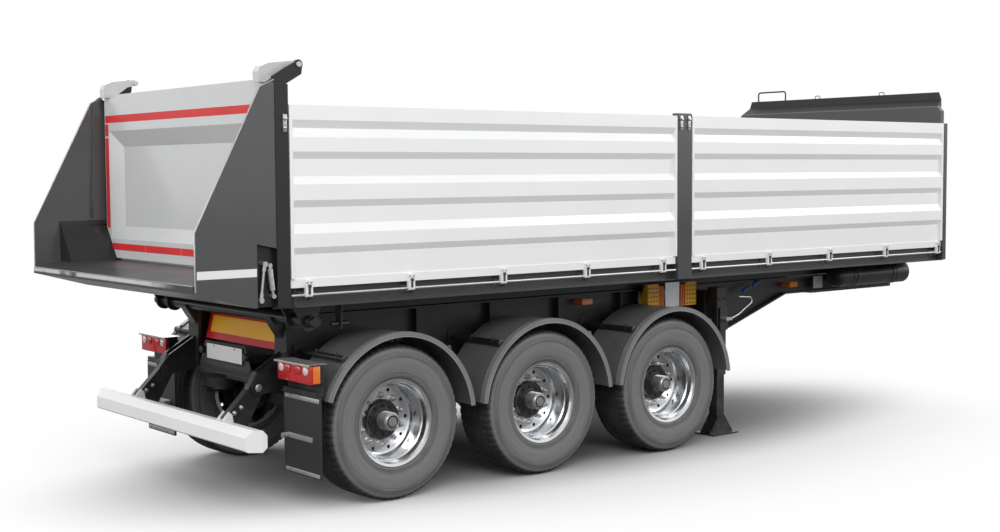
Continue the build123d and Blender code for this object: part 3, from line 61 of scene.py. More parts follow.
def middle(node):
    """Centre of a node's box."""
    low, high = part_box(node)
    return (low + high) / 2


wheels = {f"{n}_{SIDE_NAMES[side]}": side for n in AXLES for side in SIDES}
rear_axle = middle("tyre_1_left").x
axle_height = middle("tyre_1_left").z
axle_pitch = middle("tyre_2_left").x - rear_axle
track_half = 1.0  # from the centre plane to a wheel's own origin
guard_face = 1.196  # from the centre plane to where a mudguard's outer edge rolls over


def along(station):
    """Frame x of a station, in metres forward of the rear axle."""
    return rear_axle + station


def shade(colour, factor):
    """A colour made darker or lighter, opaque."""
    return tuple(min(1.0, part * factor) for part in colour[:3]) + (1.0,)


def grey(level):
    """An opaque neutral colour."""
    return (level, level, level, 1.0)


def arithmetic(operation):
    """A method that adds one Math node over a value and what comes after it."""
    return lambda value, *others: value.maths(operation, *others)


class Value:
    """A number on a socket; arithmetic on it adds Math nodes to its tree."""

    def __init__(self, nodes, socket):
        self.nodes, self.socket = nodes, socket

    def maths(self, operation, *others, first=None):
        """A Math node over this value and the others, with first ahead of them if it is given."""
        terms = ([first] if first is not None else []) + [self] + list(others)
        return self.nodes.value("Math", dict(enumerate(terms)), operation=operation)

    def __rsub__(self, other):
        return self.maths("SUBTRACT", first=other)

    __add__, __sub__, __mul__ = arithmetic("ADD"), arithmetic("SUBTRACT"), arithmetic("MULTIPLY")
    __mod__, __pow__, __abs__ = arithmetic("FLOORED_MODULO"), arithmetic("POWER"), arithmetic("ABSOLUTE")
    __gt__, __lt__, sine = arithmetic("GREATER_THAN"), arithmetic("LESS_THAN"), arithmetic("SINE")

    def ramp(self, start, end):
        """0 before start, 1 past end and smooth between them; start may be the greater one."""
        return self.nodes.value(
            "MapRange", {0: self, 1: start, 2: end, 3: 0.0, 4: 1.0}, interpolation_type="SMOOTHSTEP")

    def within(self, low, high):
        """1 between two edges, else 0."""
        return (self > low) * (self < high)


class Nodes:
    """A node tree under construction."""

    def __init__(self, tree):
        self.tree = tree
        tree.nodes.clear()

    def add(self, kind, sockets=None, **settings):
        """A shader node, with its settings and its sockets' values or links."""
        node = self.tree.nodes.new("ShaderNode" + kind)
        for key, setting in settings.items():
            setattr(node, key, setting)
        for key, value in (sockets or {}).items():
            self.feed(node.inputs[key], value)
        return node

    def feed(self, socket, value):
        """Links a value or another socket to a socket, or sets a plain number or colour on it."""
        if isinstance(value, Value):
            value = value.socket
        if isinstance(value, bpy.types.NodeSocket):
            self.tree.links.new(value, socket)
        else:
            socket.default_value = value

    def value(self, kind, sockets=None, output=0, **settings):
        """One output of a new node, as a value."""
        return Value(self, self.add(kind, sockets, **settings).outputs[output])


class Finish(Nodes):
    """One material: a Principled surface and the nodes that vary it."""

    INPUTS = {"colour": "Base Color", "roughness": "Roughness", "metallic": "Metallic", "coat": "Coat Weight",
              "coat_roughness": "Coat Roughness", "specular": "Specular IOR Level"}

    def __init__(self, name):
        self.material = bpy.data.materials.new(name)
        self.material.use_nodes = True
        super().__init__(self.material.node_tree)
        self.output = self.add("OutputMaterial")
        self.shader = self.add("BsdfPrincipled")
        self.feed(self.output.inputs[0], self.shader.outputs[0])

    def where(self):
        """The place on the surface, as a vector in metres from the object's origin."""
        return self.add("TexCoord").outputs["Object"]

    def place(self):
        """The x, y and z of the place on the surface."""
        split = self.add("SeparateXYZ", {0: self.where()})
        return [Value(self, socket) for socket in split.outputs]

    def noise(self, scale, detail=2.0, stretch=(1.0, 1.0, 1.0)):
        """Cloudy noise, with scale patches a metre, packed closer along an axis by its stretch."""
        where = self.add("Mapping", {"Vector": self.where(), "Scale": stretch}).outputs[0]
        return self.value("TexNoise", {"Vector": where, "Scale": scale, "Detail": detail})

    def cells(self, scale):
        """Distance to the nearest wall of a comb of cells, with scale cells a metre."""
        return self.value(
            "TexVoronoi", {"Vector": self.where(), "Scale": scale}, "Distance", feature="DISTANCE_TO_EDGE")

    def mix(self, share, first, second):
        """A colour between two colours."""
        return self.add("Mix", {0: share, 6: first, 7: second}, data_type="RGBA").outputs[2]

    def shades(self, share, colour, dark, light):
        """A colour between two shades of one colour."""
        return self.mix(share, shade(colour, dark), shade(colour, light))

    def surface(self, **inputs):
        """Feeds the Principled shader's inputs."""
        for key, value in inputs.items():
            self.feed(self.shader.inputs[self.INPUTS[key]], value)

    def bump(self, height, strength, distance):
        """Raises the surface by a height map; gives the finished material."""
        node = self.add("Bump", {"Strength": strength, "Distance": distance, "Height": height})
        self.feed(self.shader.inputs["Normal"], node.outputs[0])
        return self.material

    def peel(self):
        """The fine orange peel of sprayed paint; gives the finished material."""
        return self.bump(self.noise(420.0, 1.0), 0.04, 0.0004)


def paint(name, colour, roughness=0.34, mottle=0.08, grime=0.0, coat=0.25):
    """Sprayed paint: faint mottling, a fine peel and, low down, a little road dust."""
    finish = Finish(name)
    broad = finish.noise(1.7, 3.0)
    tone = finish.shades(broad, colour, 1.0 - mottle, 1.0 + mottle)
    if grime:
        low = 1.0 - finish.place()[2].ramp(0.3, 1.3)
        dust = finish.noise(9.0, 4.0).ramp(0.35, 0.75)
        tone = finish.mix(low * dust * grime, tone, (0.16, 0.15, 0.135, 1.0))
    finish.surface(colour=tone, roughness=broad * 0.12 + (roughness - 0.06), coat=coat, coat_roughness=0.12)
    return finish.peel()


def zinc_plate(name, colour=(0.56, 0.57, 0.58), roughness=0.36):
    """Zinc-plated steel: bright, with cloudy patches of duller plating."""
    finish = Finish(name)
    cloud = finish.noise(38.0, 4.0)
    finish.surface(
        colour=finish.shades(cloud, colour, 0.82, 1.15), metallic=0.9,
        roughness=cloud * 0.18 + (roughness - 0.09))
    return finish.bump(finish.noise(700.0, 1.0), 0.06, 0.0003)


def moulded(name, colour, roughness=0.5, edge=None, edge_start=0.0):
    """Moulded plastic or rubber with a fine leathery grain; outboard of edge_start a paler colour is a
    painted highlight.
    """
    finish = Finish(name)
    broad = finish.noise(5.0, 3.0)
    tone = finish.shades(broad, colour, 0.85, 1.18)
    if edge:
        # Painted highlight: outboard of edge_start the colour turns paler.
        highlight_band = abs(finish.place()[1]).ramp(edge_start, edge_start + 0.01)
        tone = finish.mix(highlight_band, tone, finish.shades(broad, edge, 0.85, 1.18))
    finish.surface(colour=tone, roughness=broad * 0.16 + (roughness - 0.08))
    return finish.bump(finish.noise(900.0), 0.18, 0.0004)


def tyre_rubber(name):
    """Tyre: dark tread, greyer sidewall with moulded rings and fine radial ribs."""
    finish = Finish(name)
    x, _, z = finish.place()
    radius = (x * x + z * z) ** 0.5
    angle = z.maths("ARCTAN2", x)
    patch = finish.noise(7.0, 4.0)
    spread = finish.value("CombineXYZ", {0: radius * 90.0, 1: angle * 2.0})
    streaks = finish.value(
        "TexNoise", {"Vector": spread, "Scale": 1.0, "Detail": 3.0}, noise_dimensions="2D")
    pale = finish.mix(streaks, (0.065, 0.065, 0.064, 1.0), (0.185, 0.183, 0.18, 1.0))
    bands = radius.within(0.345, 0.44) * 0.35 + radius.within(0.486, 0.5) * 0.45
    sidewall = finish.mix(bands, pale, (0.24, 0.238, 0.234, 1.0))
    tread = finish.mix(patch.ramp(0.3, 0.75), grey(0.022), (0.052, 0.051, 0.05, 1.0))
    finish.surface(
        colour=finish.mix(radius.ramp(0.514, 0.5), tread, sidewall), roughness=patch * 0.2 + 0.55)
    rings = (radius * 1250.0).sine() * radius.within(0.312, 0.345)
    ribs = (angle * 220.0).sine() * radius.within(0.45, 0.49)
    edge = (radius * 620.0).sine() * radius.within(0.43, 0.452)
    return finish.bump(rings * 0.6 + ribs * 0.55 + edge * 0.6 + finish.noise(300.0) * 0.2, 0.5, 0.0022)


def forged_rim(name):
    """Polished forged rim, turned all over, with a black hub standing through its disc and painted shade,
    near black, inboard of the disc within the well.
    """
    hub_radius, hub_foot = 0.1345, -0.0165
    well_radius, well_mouth = 0.268, -0.03
    finish = Finish(name)
    x, y, z = finish.place()
    across = (x - (rear_axle - axle_pitch / 2)) % axle_pitch - axle_pitch / 2
    up = z - axle_height
    radius = (across * across + up * up) ** 0.5
    outward = abs(y) - track_half
    hub = (radius < hub_radius) * (outward > hub_foot)
    # Painted shade: inboard of the disc, within the well, the rim is coloured near black; with the hub's own
    # black this makes the black mask.
    shaded_inside = (outward < well_mouth) * (radius < well_radius)
    black = (hub + shaded_inside).maths("MINIMUM", 1.0)
    turned = finish.value(
        "TexNoise", {"W": radius, "Scale": 900.0, "Detail": 2.0}, noise_dimensions="1D")
    cloud = finish.noise(20.0, 3.0)
    bright = finish.mix(cloud, (0.6, 0.61, 0.62, 1.0), (0.78, 0.79, 0.8, 1.0))
    dark = finish.mix(cloud, (0.012, 0.012, 0.013, 1.0), (0.03, 0.03, 0.032, 1.0))
    finish.surface(
        colour=finish.mix(black, bright, dark), metallic=1.0 - black * 0.9,
        roughness=cloud * 0.1 + turned * 0.08 + 0.12 + black * 0.28)
    return finish.bump(turned, 0.12, 0.0004)


def lens(name, colour, rib_axis=1):
    """Moulded lamp lens: clear colour over fine prism ribs, with painted highlights and shade in bands along
    the ribs and a painted glow in patches.
    """
    rib_pitch = 0.006
    finish = Finish(name)
    ribs = (finish.place()[rib_axis] * (2 * math.pi / rib_pitch)).sine()
    glow = finish.noise(30.0)
    # Painted highlights and shade: the colour turns lighter and darker along the ribs and in patches of
    # painted glow.
    finish.surface(
        colour=finish.shades(ribs * 0.25 + glow * 0.4 + 0.1, colour, 0.72, 1.25),
        roughness=0.12, coat=0.8, coat_roughness=0.04)
    return finish.bump(ribs, 0.35, 0.0008)


def reflecting_tape(name, colour, paler):
    """Retroreflecting tape: cells of a honeycomb under a thin film."""
    finish = Finish(name)
    cells, sheen = finish.cells(260.0), finish.noise(4.0)
    finish.surface(
        colour=finish.mix(
            cells.ramp(0, 0.12) * 0.3 + sheen * 0.4, shade(colour, 0.85), shade(paler, 1.0)),
        roughness=0.42, coat=0.08, coat_roughness=0.1, specular=0.25)
    return finish.bump(cells, 0.1, 0.0003)


def warning_board(name, amber, red):
    """Long-vehicle board: amber reflecting field inside a red border."""
    border = 0.05
    finish = Finish(name)
    _, y, z = finish.place()
    low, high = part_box("marker_board")
    inner = (abs(y) < high.y - border) * z.within(low.z + border, high.z - border)
    cells = finish.cells(220.0)
    tone = cells.ramp(0, 0.1) * 0.3 + finish.noise(3.0) * 0.5
    finish.surface(
        colour=finish.mix(inner, finish.shades(tone, red, 0.85, 1.3), finish.shades(tone, amber, 0.9, 1.25)),
        roughness=0.42, coat=0.08, coat_roughness=0.1, specular=0.25)
    return finish.bump(cells, 0.08, 0.0003)


def chock_plastic(name, yellow, orange):
    """Chock moulding: yellow wedges with round holes, and orange ribs between them; the holes are near black
    painted shade over a dent in the bump.
    """
    wedge_length, hole_pitch, hole_rise, hole_radius = 0.124, 0.03, 0.036, 0.0075
    finish = Finish(name)
    x, _, z = finish.place()
    low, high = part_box("wheel_chocks")
    wedge = abs(x - (low.x + high.x) / 2) > (high.x - low.x) / 2 - wedge_length
    across = (x - low.x) % hole_pitch - hole_pitch / 2
    up = (z - low.z) % hole_rise - hole_rise / 2
    # Painted shade: the round holes are coloured near black and dented in the bump, not cut.
    hole = ((across * across + up * up) ** 0.5 < hole_radius) * wedge
    grain = finish.noise(60.0, 3.0)
    solid = finish.mix(
        wedge, finish.shades(grain, orange, 0.8, 1.15), finish.shades(grain, yellow, 0.85, 1.1))
    finish.surface(colour=finish.mix(hole, solid, (0.02, 0.017, 0.01, 1.0)), roughness=grain * 0.2 + 0.35)
    return finish.bump(grain - hole * 2.0, 0.4, 0.002)


def chute_paint(name, colour):
    """Glossy paint of the chute's side plates, with painted shade, streaked by noise, low on their inner
    faces.
    """
    plate_face = 1.2595
    finish = Finish(name)
    _, y, z = finish.place()
    cloud = finish.noise(1.7, 3.0)
    # Painted shade: low on the inner faces the paint is darkened, streaked by noise, and its coat is taken
    # away.
    shaded_inside = (abs(y) < plate_face) * z.ramp(2.05, 1.8)
    scour_and_shade = shaded_inside * finish.noise(6.0, 4.0, (1.0, 1.0, 0.2)).ramp(0.05, 0.35)
    finish.surface(
        colour=finish.mix(scour_and_shade, finish.shades(cloud, colour, 0.9, 1.1), shade(colour, 0.14)),
        roughness=cloud * 0.1 + 0.26, coat=(1.0 - scour_and_shade) * 0.45, coat_roughness=0.1)
    return finish.peel()


def shadowed_paint(name, colour):
    """Paint of the posts and front wall, with painted shade darkening the rear posts and the hood."""
    rear_posts_end, hood_foot = along(-0.8), 2.8
    finish = Finish(name)
    x, _, z = finish.place()
    cloud = finish.noise(2.5, 3.0)
    # Painted shade: the rear posts and the hood are darkened and lose most of their coat.
    dark = (x < rear_posts_end).maths("MAXIMUM", z > hood_foot)
    finish.surface(
        colour=finish.mix(dark, finish.shades(cloud, colour, 0.85, 1.15), shade(colour, 0.16)),
        roughness=cloud * 0.12 + dark * 0.16 + 0.28, coat=(1.0 - dark) * 0.3, coat_roughness=0.12)
    return finish.peel()


def chute_floor_paint(name, colour):
    """Chute floor: scoured paint, worn to bare metal on the rim and pale underneath."""
    finish = Finish(name)
    x, y, z = finish.place()
    rim_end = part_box("chute_floor")[0].x + 0.004
    cloud, smear = finish.noise(3.0, 3.0), finish.noise(5.0, 4.0, (1.0, 0.6, 1.0))
    rim = (x < rim_end) * z.ramp(1.502, 1.512) * y.ramp(-1.05, -0.7) * smear.ramp(0.25, 0.45)
    below = (x > rim_end) * (z < 1.489)
    worn = finish.mix(rim.maths("MAXIMUM", below * 0.7), shade(colour, 1.0), grey(0.6))
    finish.surface(
        colour=finish.mix(cloud * 0.3, worn, shade(colour, 1.2)), roughness=cloud * 0.2 + 0.3, coat=0.1)
    return finish.bump(finish.noise(9.0, 5.0, (0.12, 3.0, 1.0)), 0.1, 0.001)


def worn_floor(name, colour, wear):
    """Load floor: paint scoured bright along the bed by sliding loads."""
    finish = Finish(name)
    scour_and_shade = finish.noise(9.0, 5.0, (0.12, 3.0, 1.0)).ramp(0.42, 0.72)
    cloud = finish.noise(3.0, 3.0)
    finish.surface(
        colour=finish.mix(scour_and_shade * wear, finish.shades(cloud, colour, 0.8, 1.2), (0.33, 0.32, 0.31, 1.0)),
        metallic=scour_and_shade * wear, roughness=cloud * 0.2 + 0.3)
    return finish.bump(scour_and_shade + cloud * 0.4, 0.1, 0.001)


class Shape:
    """A mesh under construction, in frame metres or about its own origin."""

    def __init__(self):
        self.mesh = bmesh.new()

    def box(self, low, high, bevel=0.0):
        """A box between two corners, with its edges rounded by a bevel."""
        low, high = Vector(map(min, low, high)), Vector(map(max, low, high))
        place = Matrix.LocRotScale((low + high) / 2, None, high - low)
        made = bmesh.ops.create_cube(self.mesh, size=1.0, matrix=place)["verts"]
        if bevel:
            edges = list({edge for vert in made for edge in vert.link_edges})
            bmesh.ops.bevel(
                self.mesh, geom=edges, affect="EDGES", segments=2, profile=0.6,
                offset=min(bevel, min(high - low) * 0.35),
            )
        return self

    def ring(self, centre, side, up, radius, count):
        """A loop of points round a centre."""
        return [
            self.mesh.verts.new(centre + (side * math.cos(turn) + up * math.sin(turn)) * radius)
            for turn in (2 * math.pi * k / count for k in range(count))
        ]

    def turned(self, centre, axis, profile, count=32):
        """A body of revolution: profile is (distance along the axis, radius) from end to end."""
        axis = Vector(axis).normalized()
        side = axis.orthogonal().normalized()
        up = axis.cross(side)
        rings = []
        for reach, radius in profile:
            at = Vector(centre) + axis * reach
            rings.append(self.ring(at, side, up, radius, count if radius > 1e-6 else 1))
        return self.skin(rings)

    def bridge(self, first, second):
        """Faces between two loops of points; one of them may be a single point."""
        for k in range(max(len(first), len(second))):
            near, far = k % len(first), k % len(second)
            corners = (first[near], first[(near + 1) % len(first)],
                       second[(far + 1) % len(second)], second[far])
            self.mesh.faces.new(dict.fromkeys(corners))

    def skin(self, rings):
        """Faces along a row of loops and over its two ends."""
        for first, second in zip(rings, rings[1:]):
            self.bridge(first, second)
        for ring in (rings[0][::-1], rings[-1]):
            if len(ring) > 1:
                self.mesh.faces.new(ring)
        return self

    def head(self, centre, axis, radius, top, height, count=20):
        """A low round head, bevelled to the radius of its top."""
        return self.turned(centre, axis, (
            (0, radius), (height - 0.002, radius), (height, top), (height + 0.0002, 0)), count)

    def nut(self, centre, axis, across, height):
        """A hexagon nut on a washer, with the end of its stud."""
        washer, corner, stud = across * 0.8, across * 0.577, across * 0.27
        foot = height * 0.16
        self.turned(centre, axis, ((0, washer), (foot, washer)), 24)
        self.turned(centre, axis, ((foot, corner), (height * 0.9, corner), (height, across * 0.5)), 6)
        return self.turned(centre, axis, (
            (height, stud), (height * 1.45, stud), (height * 1.55, across * 0.2)), 12)

    def rod(self, points, radius, count):
        """A round bar that follows straight runs or a fine curve."""
        points = [Vector(point) for point in points]
        rings = []
        side = None
        for i, point in enumerate(points):
            ahead = (points[min(i + 1, len(points) - 1)] - points[max(i - 1, 0)]).normalized()
            if side is None:
                side = ahead.orthogonal().normalized()
            side = (side - ahead * side.dot(ahead)).normalized()
            rings.append(self.ring(point, side, ahead.cross(side), radius, count))
        return self.skin(rings)

    def slab(self, outline, thickness):
        """A flat sheet from a loop of points, thickened by a vector."""
        return self.skin([
            [self.mesh.verts.new(Vector(point) + offset) for point in outline]
            for offset in (Vector(), Vector(thickness))])

    def data(self, name, crease=35.0):
        """The finished mesh, smooth but for edges sharper than the crease."""
        bmesh.ops.recalc_face_normals(self.mesh, faces=self.mesh.faces)
        for face in self.mesh.faces:
            face.smooth = True
        for edge in self.mesh.edges:
            if len(edge.link_faces) == 2 and edge.calc_face_angle() > math.radians(crease):
                edge.smooth = False
        mesh = bpy.data.meshes.new(name)
        self.mesh.to_mesh(mesh)
        self.mesh.free()
        return mesh


def fit(name, mesh, body, material, place=None):
    """Puts a mesh on its body as one piece of the trailer."""
    piece = bpy.data.objects.new(name, mesh)
    bpy.context.scene.collection.objects.link(piece)
    if not mesh.materials:
        mesh.materials.append(material)
    if place is not None:
        piece.matrix_world = place
    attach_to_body(piece, body)
    return piece


def attach(name, shape, material, body="chassis"):
    """Finishes a shape built in the frame and puts it on its body."""
    return fit(name, shape.data(name), body, material)


def facing(centre, side):
    """Place of a mesh built for the left side, turned about the vertical for the right."""
    return Matrix.Translation(centre) @ Matrix.Rotation(0.0 if side > 0 else math.pi, 4, "Z")


def dress(material, *nodes):
    """Gives solid parts their finish."""
    for node in nodes:
        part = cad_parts[node]
        part.data.materials.clear()
        part.data.materials.append(material)


def tint(name, description, default):
    """A colour among the settings."""
    return bpy.props.FloatVectorProperty(
        name=name, description=description, subtype="COLOR", size=3, min=0, max=1, default=default)


def measure(name, description, default, low, high, unit="LENGTH"):
    """A measure among the settings: a length in metres, unless another unit is given."""
    return bpy.props.FloatProperty(
        name=name, description=description, default=default, min=low, max=high, unit=unit)


class PaintSettings(bpy.types.PropertyGroup):
    """Colours of the trailer's finishes."""
    panel: tint("Dropsides", "Paint of the dropsides", (0.84, 0.845, 0.85))
    gate: tint("Tailgate", "Paint of the tailgate", (0.52, 0.525, 0.53))
    chute: tint("Chute", "Paint of the chute's side plates", (0.07, 0.071, 0.074))
    post: tint("Posts and rails", "Paint of the posts, rails and front wall", (0.045, 0.046, 0.048))
    chassis: tint("Chassis", "Paint of the chassis", (0.01, 0.01, 0.0105))
    underrun: tint("Underrun beam", "Paint of the underrun beam", (0.8, 0.805, 0.81))
    red: tint("Red", "Red of the tape, the board and the lamps' triangles", (0.52, 0.012, 0.016))
    amber: tint("Amber", "Amber of the long-vehicle board", (0.9, 0.42, 0.02))


class TyreSettings(bpy.types.PropertyGroup):
    """Shape of the tyres' tread."""
    lugs: bpy.props.IntProperty(
        name="Shoulder lugs", description="Lugs round each shoulder", default=64, min=24, max=120)
    groove_depth: measure("Groove depth", "Depth of the grooves round the tread", 0.011, 0.0, 0.03)
    groove_width: measure("Groove width", "Width of the grooves round the tread", 0.012, 0.004, 0.03)
    zigzag: measure("Zigzag", "Sideways swing of the grooves", 0.004, 0.0, 0.01)


class FittingSettings(bpy.types.PropertyGroup):
    """Sizes of nuts, tape and trim."""
    wheel_nut: measure("Wheel nut", "Width of a wheel nut across its flats", 0.032, 0.01, 0.05)
    stud_circle: measure("Stud circle", "Diameter of the circle of wheel studs", 0.335, 0.2, 0.4)
    tape_width: measure("Tape width", "Width of the red tape on the tailgate", 0.054, 0.02, 0.06)
    stripe_width: measure("Stripe width", "Width of the white stripe on the chute plates", 0.05, 0.02, 0.1)


class StageSettings(bpy.types.PropertyGroup):
    """Camera and light of the studio."""
    lens: measure("Lens", "Focal length of the camera, in millimetres", 51.466, 20.0, 200.0, "CAMERA")
    key_power: measure(
        "Key light", "Power of the large light over the near side, in watts", 900.0, 0.0, 5000.0, "POWER")
    sky: measure("Room light", "Strength of the even light from all round", 0.68, 0.0, 2.0, "NONE")


class TRAILER_OT_paint_parts(bpy.types.Operator):
    """Gives every solid part its paint, rubber, plastic or plating"""
    bl_idname = "trailer.paint_parts"
    bl_label = "Paint the parts"

    def execute(self, context):
        tones = context.scene.trailer_paint
        dress(paint("chassis_paint", tones.chassis, 0.42, grime=0.25),
              "main_beams", "cross_members", "cylinder_cradle", "coupling_plate", "rear_frame",
              "trailing_arms", "axles", "mudguard_stays", "landing_legs", "air_tanks", "bed_bearers",
              "bed_runners", "underrun_arms", "cylinder_barrel", "plate_panel")
        dress(moulded("bellows_rubber", (0.028, 0.028, 0.029), 0.55), "air_springs")
        # The paler colour outboard of guard_face is a painted highlight along each guard's outer edge.
        dress(moulded("guard_plastic", (0.105, 0.106, 0.11), 0.3, (0.18, 0.182, 0.186), guard_face),
              "mudguards")
        dress(moulded("flap_rubber", (0.02, 0.02, 0.021)), "mudflaps")
        dress(moulded("lamp_housing", (0.012, 0.012, 0.013), 0.4), "tail_lamps")
        dress(warning_board("board_film", tones.amber, tones.red), "marker_board")
        dress(chock_plastic("chock_plastic", (0.8, 0.42, 0.012), (0.72, 0.16, 0.008)), "wheel_chocks")
        dress(lens("marker_lens", (0.85, 0.2, 0.01), 0), "side_markers")
        dress(zinc_plate("zinc"), "leg_crank", "chock_holder", "hinge_rods", "gate_locks")
        dress(zinc_plate("dark_zinc", (0.07, 0.07, 0.073), 0.45), "tip_bearings", "wall_hoops")
        dress(zinc_plate("ground_rod", (0.66, 0.66, 0.67), 0.18),
              *[f"cylinder_stage_{i}" for i in range(1, 5)])
        dress(shadowed_paint("post_paint", tones.post), "side_rails", "posts", "front_wall")
        dress(worn_floor("floor_paint", (0.1, 0.1, 0.1), 0.7), "bed_floor")
        dress(chute_floor_paint("chute_floor_paint", (0.032, 0.032, 0.033)), "chute_floor")
        dress(chute_paint("chute_paint", tones.chute), "chute_plates")
        dress(paint("panel_paint", tones.panel, 0.3, 0.03, coat=0.5),
              *[f"dropside_{end}_{SIDE_NAMES[side]}" for end in ("rear", "front") for side in SIDES])
        dress(paint("gate_paint", tones.gate, 0.3, 0.06, coat=0.5), "tailgate")
        dress(paint("underrun_paint", tones.underrun, 0.4, 0.05), "underrun_beam")
        dress(forged_rim("forged_rim"), *["rim_" + name for name in wheels])
        return {"FINISHED"}


class TRAILER_OT_build_tyres(bpy.types.Operator):
    """Six tyres with grooved treads and notched shoulders"""
    bl_idname = "trailer.build_tyres"
    bl_label = "Tyres"

    # Half the section, from the bead out: distance from the wheel's centre plane, radius
    WALL = (
        (0.149, 0.2825), (0.1495, 0.2995), (0.157, 0.304), (0.168, 0.303), (0.174, 0.315), (0.1765, 0.318),
        (0.176, 0.322), (0.184, 0.35), (0.189, 0.38), (0.1925, 0.41), (0.192, 0.434), (0.19, 0.452),
        (0.1915, 0.457), (0.189, 0.464), (0.184, 0.482),
    )
    # The shoulder, with the depth of the slots across it
    SHOULDER = (
        (0.1785, 0.495, 0.005), (0.173, 0.507, 0.005), (0.166, 0.515, 0.009), (0.158, 0.5205, 0.009),
        (0.146, 0.5245, 0.009), (0.132, 0.5265, 0.009),
    )
    GROOVES = (0.098, 0.034)
    GROOVED_HALF = 0.12
    TREAD_RADIUS = 0.5285

    def section(self, size):
        """Points from bead to bead: distance from the centre plane, radius, slot depth, groove depth."""
        half = [(y, radius, 0.0, 0.0) for y, radius in self.WALL]
        half += [(y, radius, slot, 0.0) for y, radius, slot in self.SHOULDER]
        deep = size.groove_depth
        for centre in self.GROOVES:
            for share, depth in ((1.0, 0.0), (0.6, deep), (-0.6, deep), (-1.0, 0.0)):
                half.append((centre + share * size.groove_width / 2, self.TREAD_RADIUS, 0.0, depth))
        return half + [(-y, *rest) for y, *rest in reversed(half)]

    def execute(self, context):
        size = context.scene.trailer_tyres
        section = self.section(size)
        steps = 4 * size.lugs
        shape = Shape()
        rings = []
        for k in range(steps):
            turn = 2 * math.pi * k / steps
            swing = size.zigzag * (abs((k % 8) - 4) / 2 - 1)
            ring = []
            for y, radius, slot, groove in section:
                slotted = (k + (2 if y < 0 else 0)) % 4 == 0
                reach = radius - groove - (slot if slotted else 0.0)
                shift = swing if abs(y) < self.GROOVED_HALF else 0.0
                ring.append(shape.mesh.verts.new((reach * math.cos(turn), y + shift, reach * math.sin(turn))))
            rings.append(ring)
        for first, second in zip(rings, rings[1:] + rings[:1]):
            shape.bridge(first, second)
        mesh = shape.data("tyre", 28.0)
        rubber = tyre_rubber("tyre_rubber")
        for name, side in wheels.items():
            place = facing(middle("tyre_" + name), side)
            tyre = fit("tread_tyre_" + name, mesh, "wheel_" + name, rubber, place)
            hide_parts("tyre_" + name)
        return {"FINISHED"}


class TRAILER_OT_build_wheel_fittings(bpy.types.Operator):
    """Wheel nuts, hub bolts and the stepped hub caps"""
    bl_idname = "trailer.build_wheel_fittings"
    bl_label = "Wheel nuts and hubs"

    def execute(self, context):
        size = context.scene.trailer_fittings
        nuts, hub, cap = Shape(), Shape(), Shape()
        centre, axis = (0, 0, 0), (0, 1, 0)
        disc, face, end = -0.018, 0.013, 0.13  # the rim's disc, the hub's face and the cap's end
        bolt_radius, studs, cap_ribs = 0.1, 10, 8
        for k in range(studs):
            turn = 2 * math.pi * (k + 0.5) / studs
            reach = size.stud_circle / 2
            nuts.nut((reach * math.cos(turn), disc, reach * math.sin(turn)), axis, size.wheel_nut, 0.03)
            hub.nut((bolt_radius * math.cos(turn), face, bolt_radius * math.sin(turn)), axis, 0.018, 0.012)
        hub.turned(centre, axis, (
            (disc, 0.139), (disc + 0.006, 0.1405), (disc + 0.014, 0.139), (face - 0.004, 0.134),
            (face + 0.001, 0.127), (face + 0.001, 0.112), (face - 0.001, 0.111), (face - 0.001, 0.086),
            (face + 0.004, 0.085), (face + 0.006, 0.07)), 64)
        ribs = []
        for i in range(cap_ribs):
            start = face + 0.012 + 0.0125 * i
            ribs += [(start, 0.0565), (start + 0.002, 0.0625), (start + 0.006, 0.063),
                     (start + 0.008, 0.0565)]
        cap.turned(centre, axis, ribs, 48)
        cap.turned(centre, axis, (
            (end - 0.013, 0.057), (end - 0.004, 0.056), (end + 0.0005, 0.052), (end + 0.0015, 0.0465),
            (end - 0.001, 0.044), (end - 0.001, 0.034), (end + 0.002, 0.032), (end + 0.002, 0.021),
            (end + 0.0005, 0.02), (end + 0.0005, 0)), 48)
        pieces = (
            (nuts.data("wheel_nuts"), zinc_plate("nut_plating", (0.5, 0.5, 0.51), 0.3), "zinc"),
            (hub.data("hub"), paint("hub_paint", (0.014, 0.014, 0.015), 0.35), "chassis_black"),
            (cap.data("hub_cap"), zinc_plate("cap_plating", (0.42, 0.42, 0.43), 0.32), "zinc"),
        )
        for name, side in wheels.items():
            rim = middle("rim_" + name)
            place = facing((rim.x, side * track_half, rim.z), side)
            for mesh, material, slot_name in pieces:
                fit(mesh.name + "_" + name, mesh, "wheel_" + name, material, place)
        return {"FINISHED"}


class TRAILER_OT_build_gate_tape(bpy.types.Operator):
    """Red reflecting tape round the tailgate's rear face"""
    bl_idname = "trailer.build_gate_tape"
    bl_label = "Tailgate tape"

    def execute(self, context):
        half = context.scene.trailer_fittings.tape_width / 2
        front, back = along(-0.9699), along(-0.9706)
        top, top_reach = 2.617, 1.205
        foot, foot_half = 1.672, 0.025
        inner, outer = 1.152, 1.209  # edges of the upright strips, from the centre plane
        tape = Shape()
        tape.box((back, -top_reach, top - half), (front, top_reach, top + half))
        for side in SIDES:
            for low, high in ((2.492, 2.608 - half), (1.81, 2.478)):
                tape.box((back, side * inner, low), (front, side * outer, high))
        for start, end in ((-1.125, -0.562), (-0.558, -0.002), (0.002, 0.558), (0.562, 1.125)):
            tape.box((back, start, foot - foot_half), (front, end, foot + foot_half))
        film = reflecting_tape("red_tape", context.scene.trailer_paint.red, (0.75, 0.05, 0.05))
        attach("gate_tape", tape, film, "tailgate")
        return {"FINISHED"}


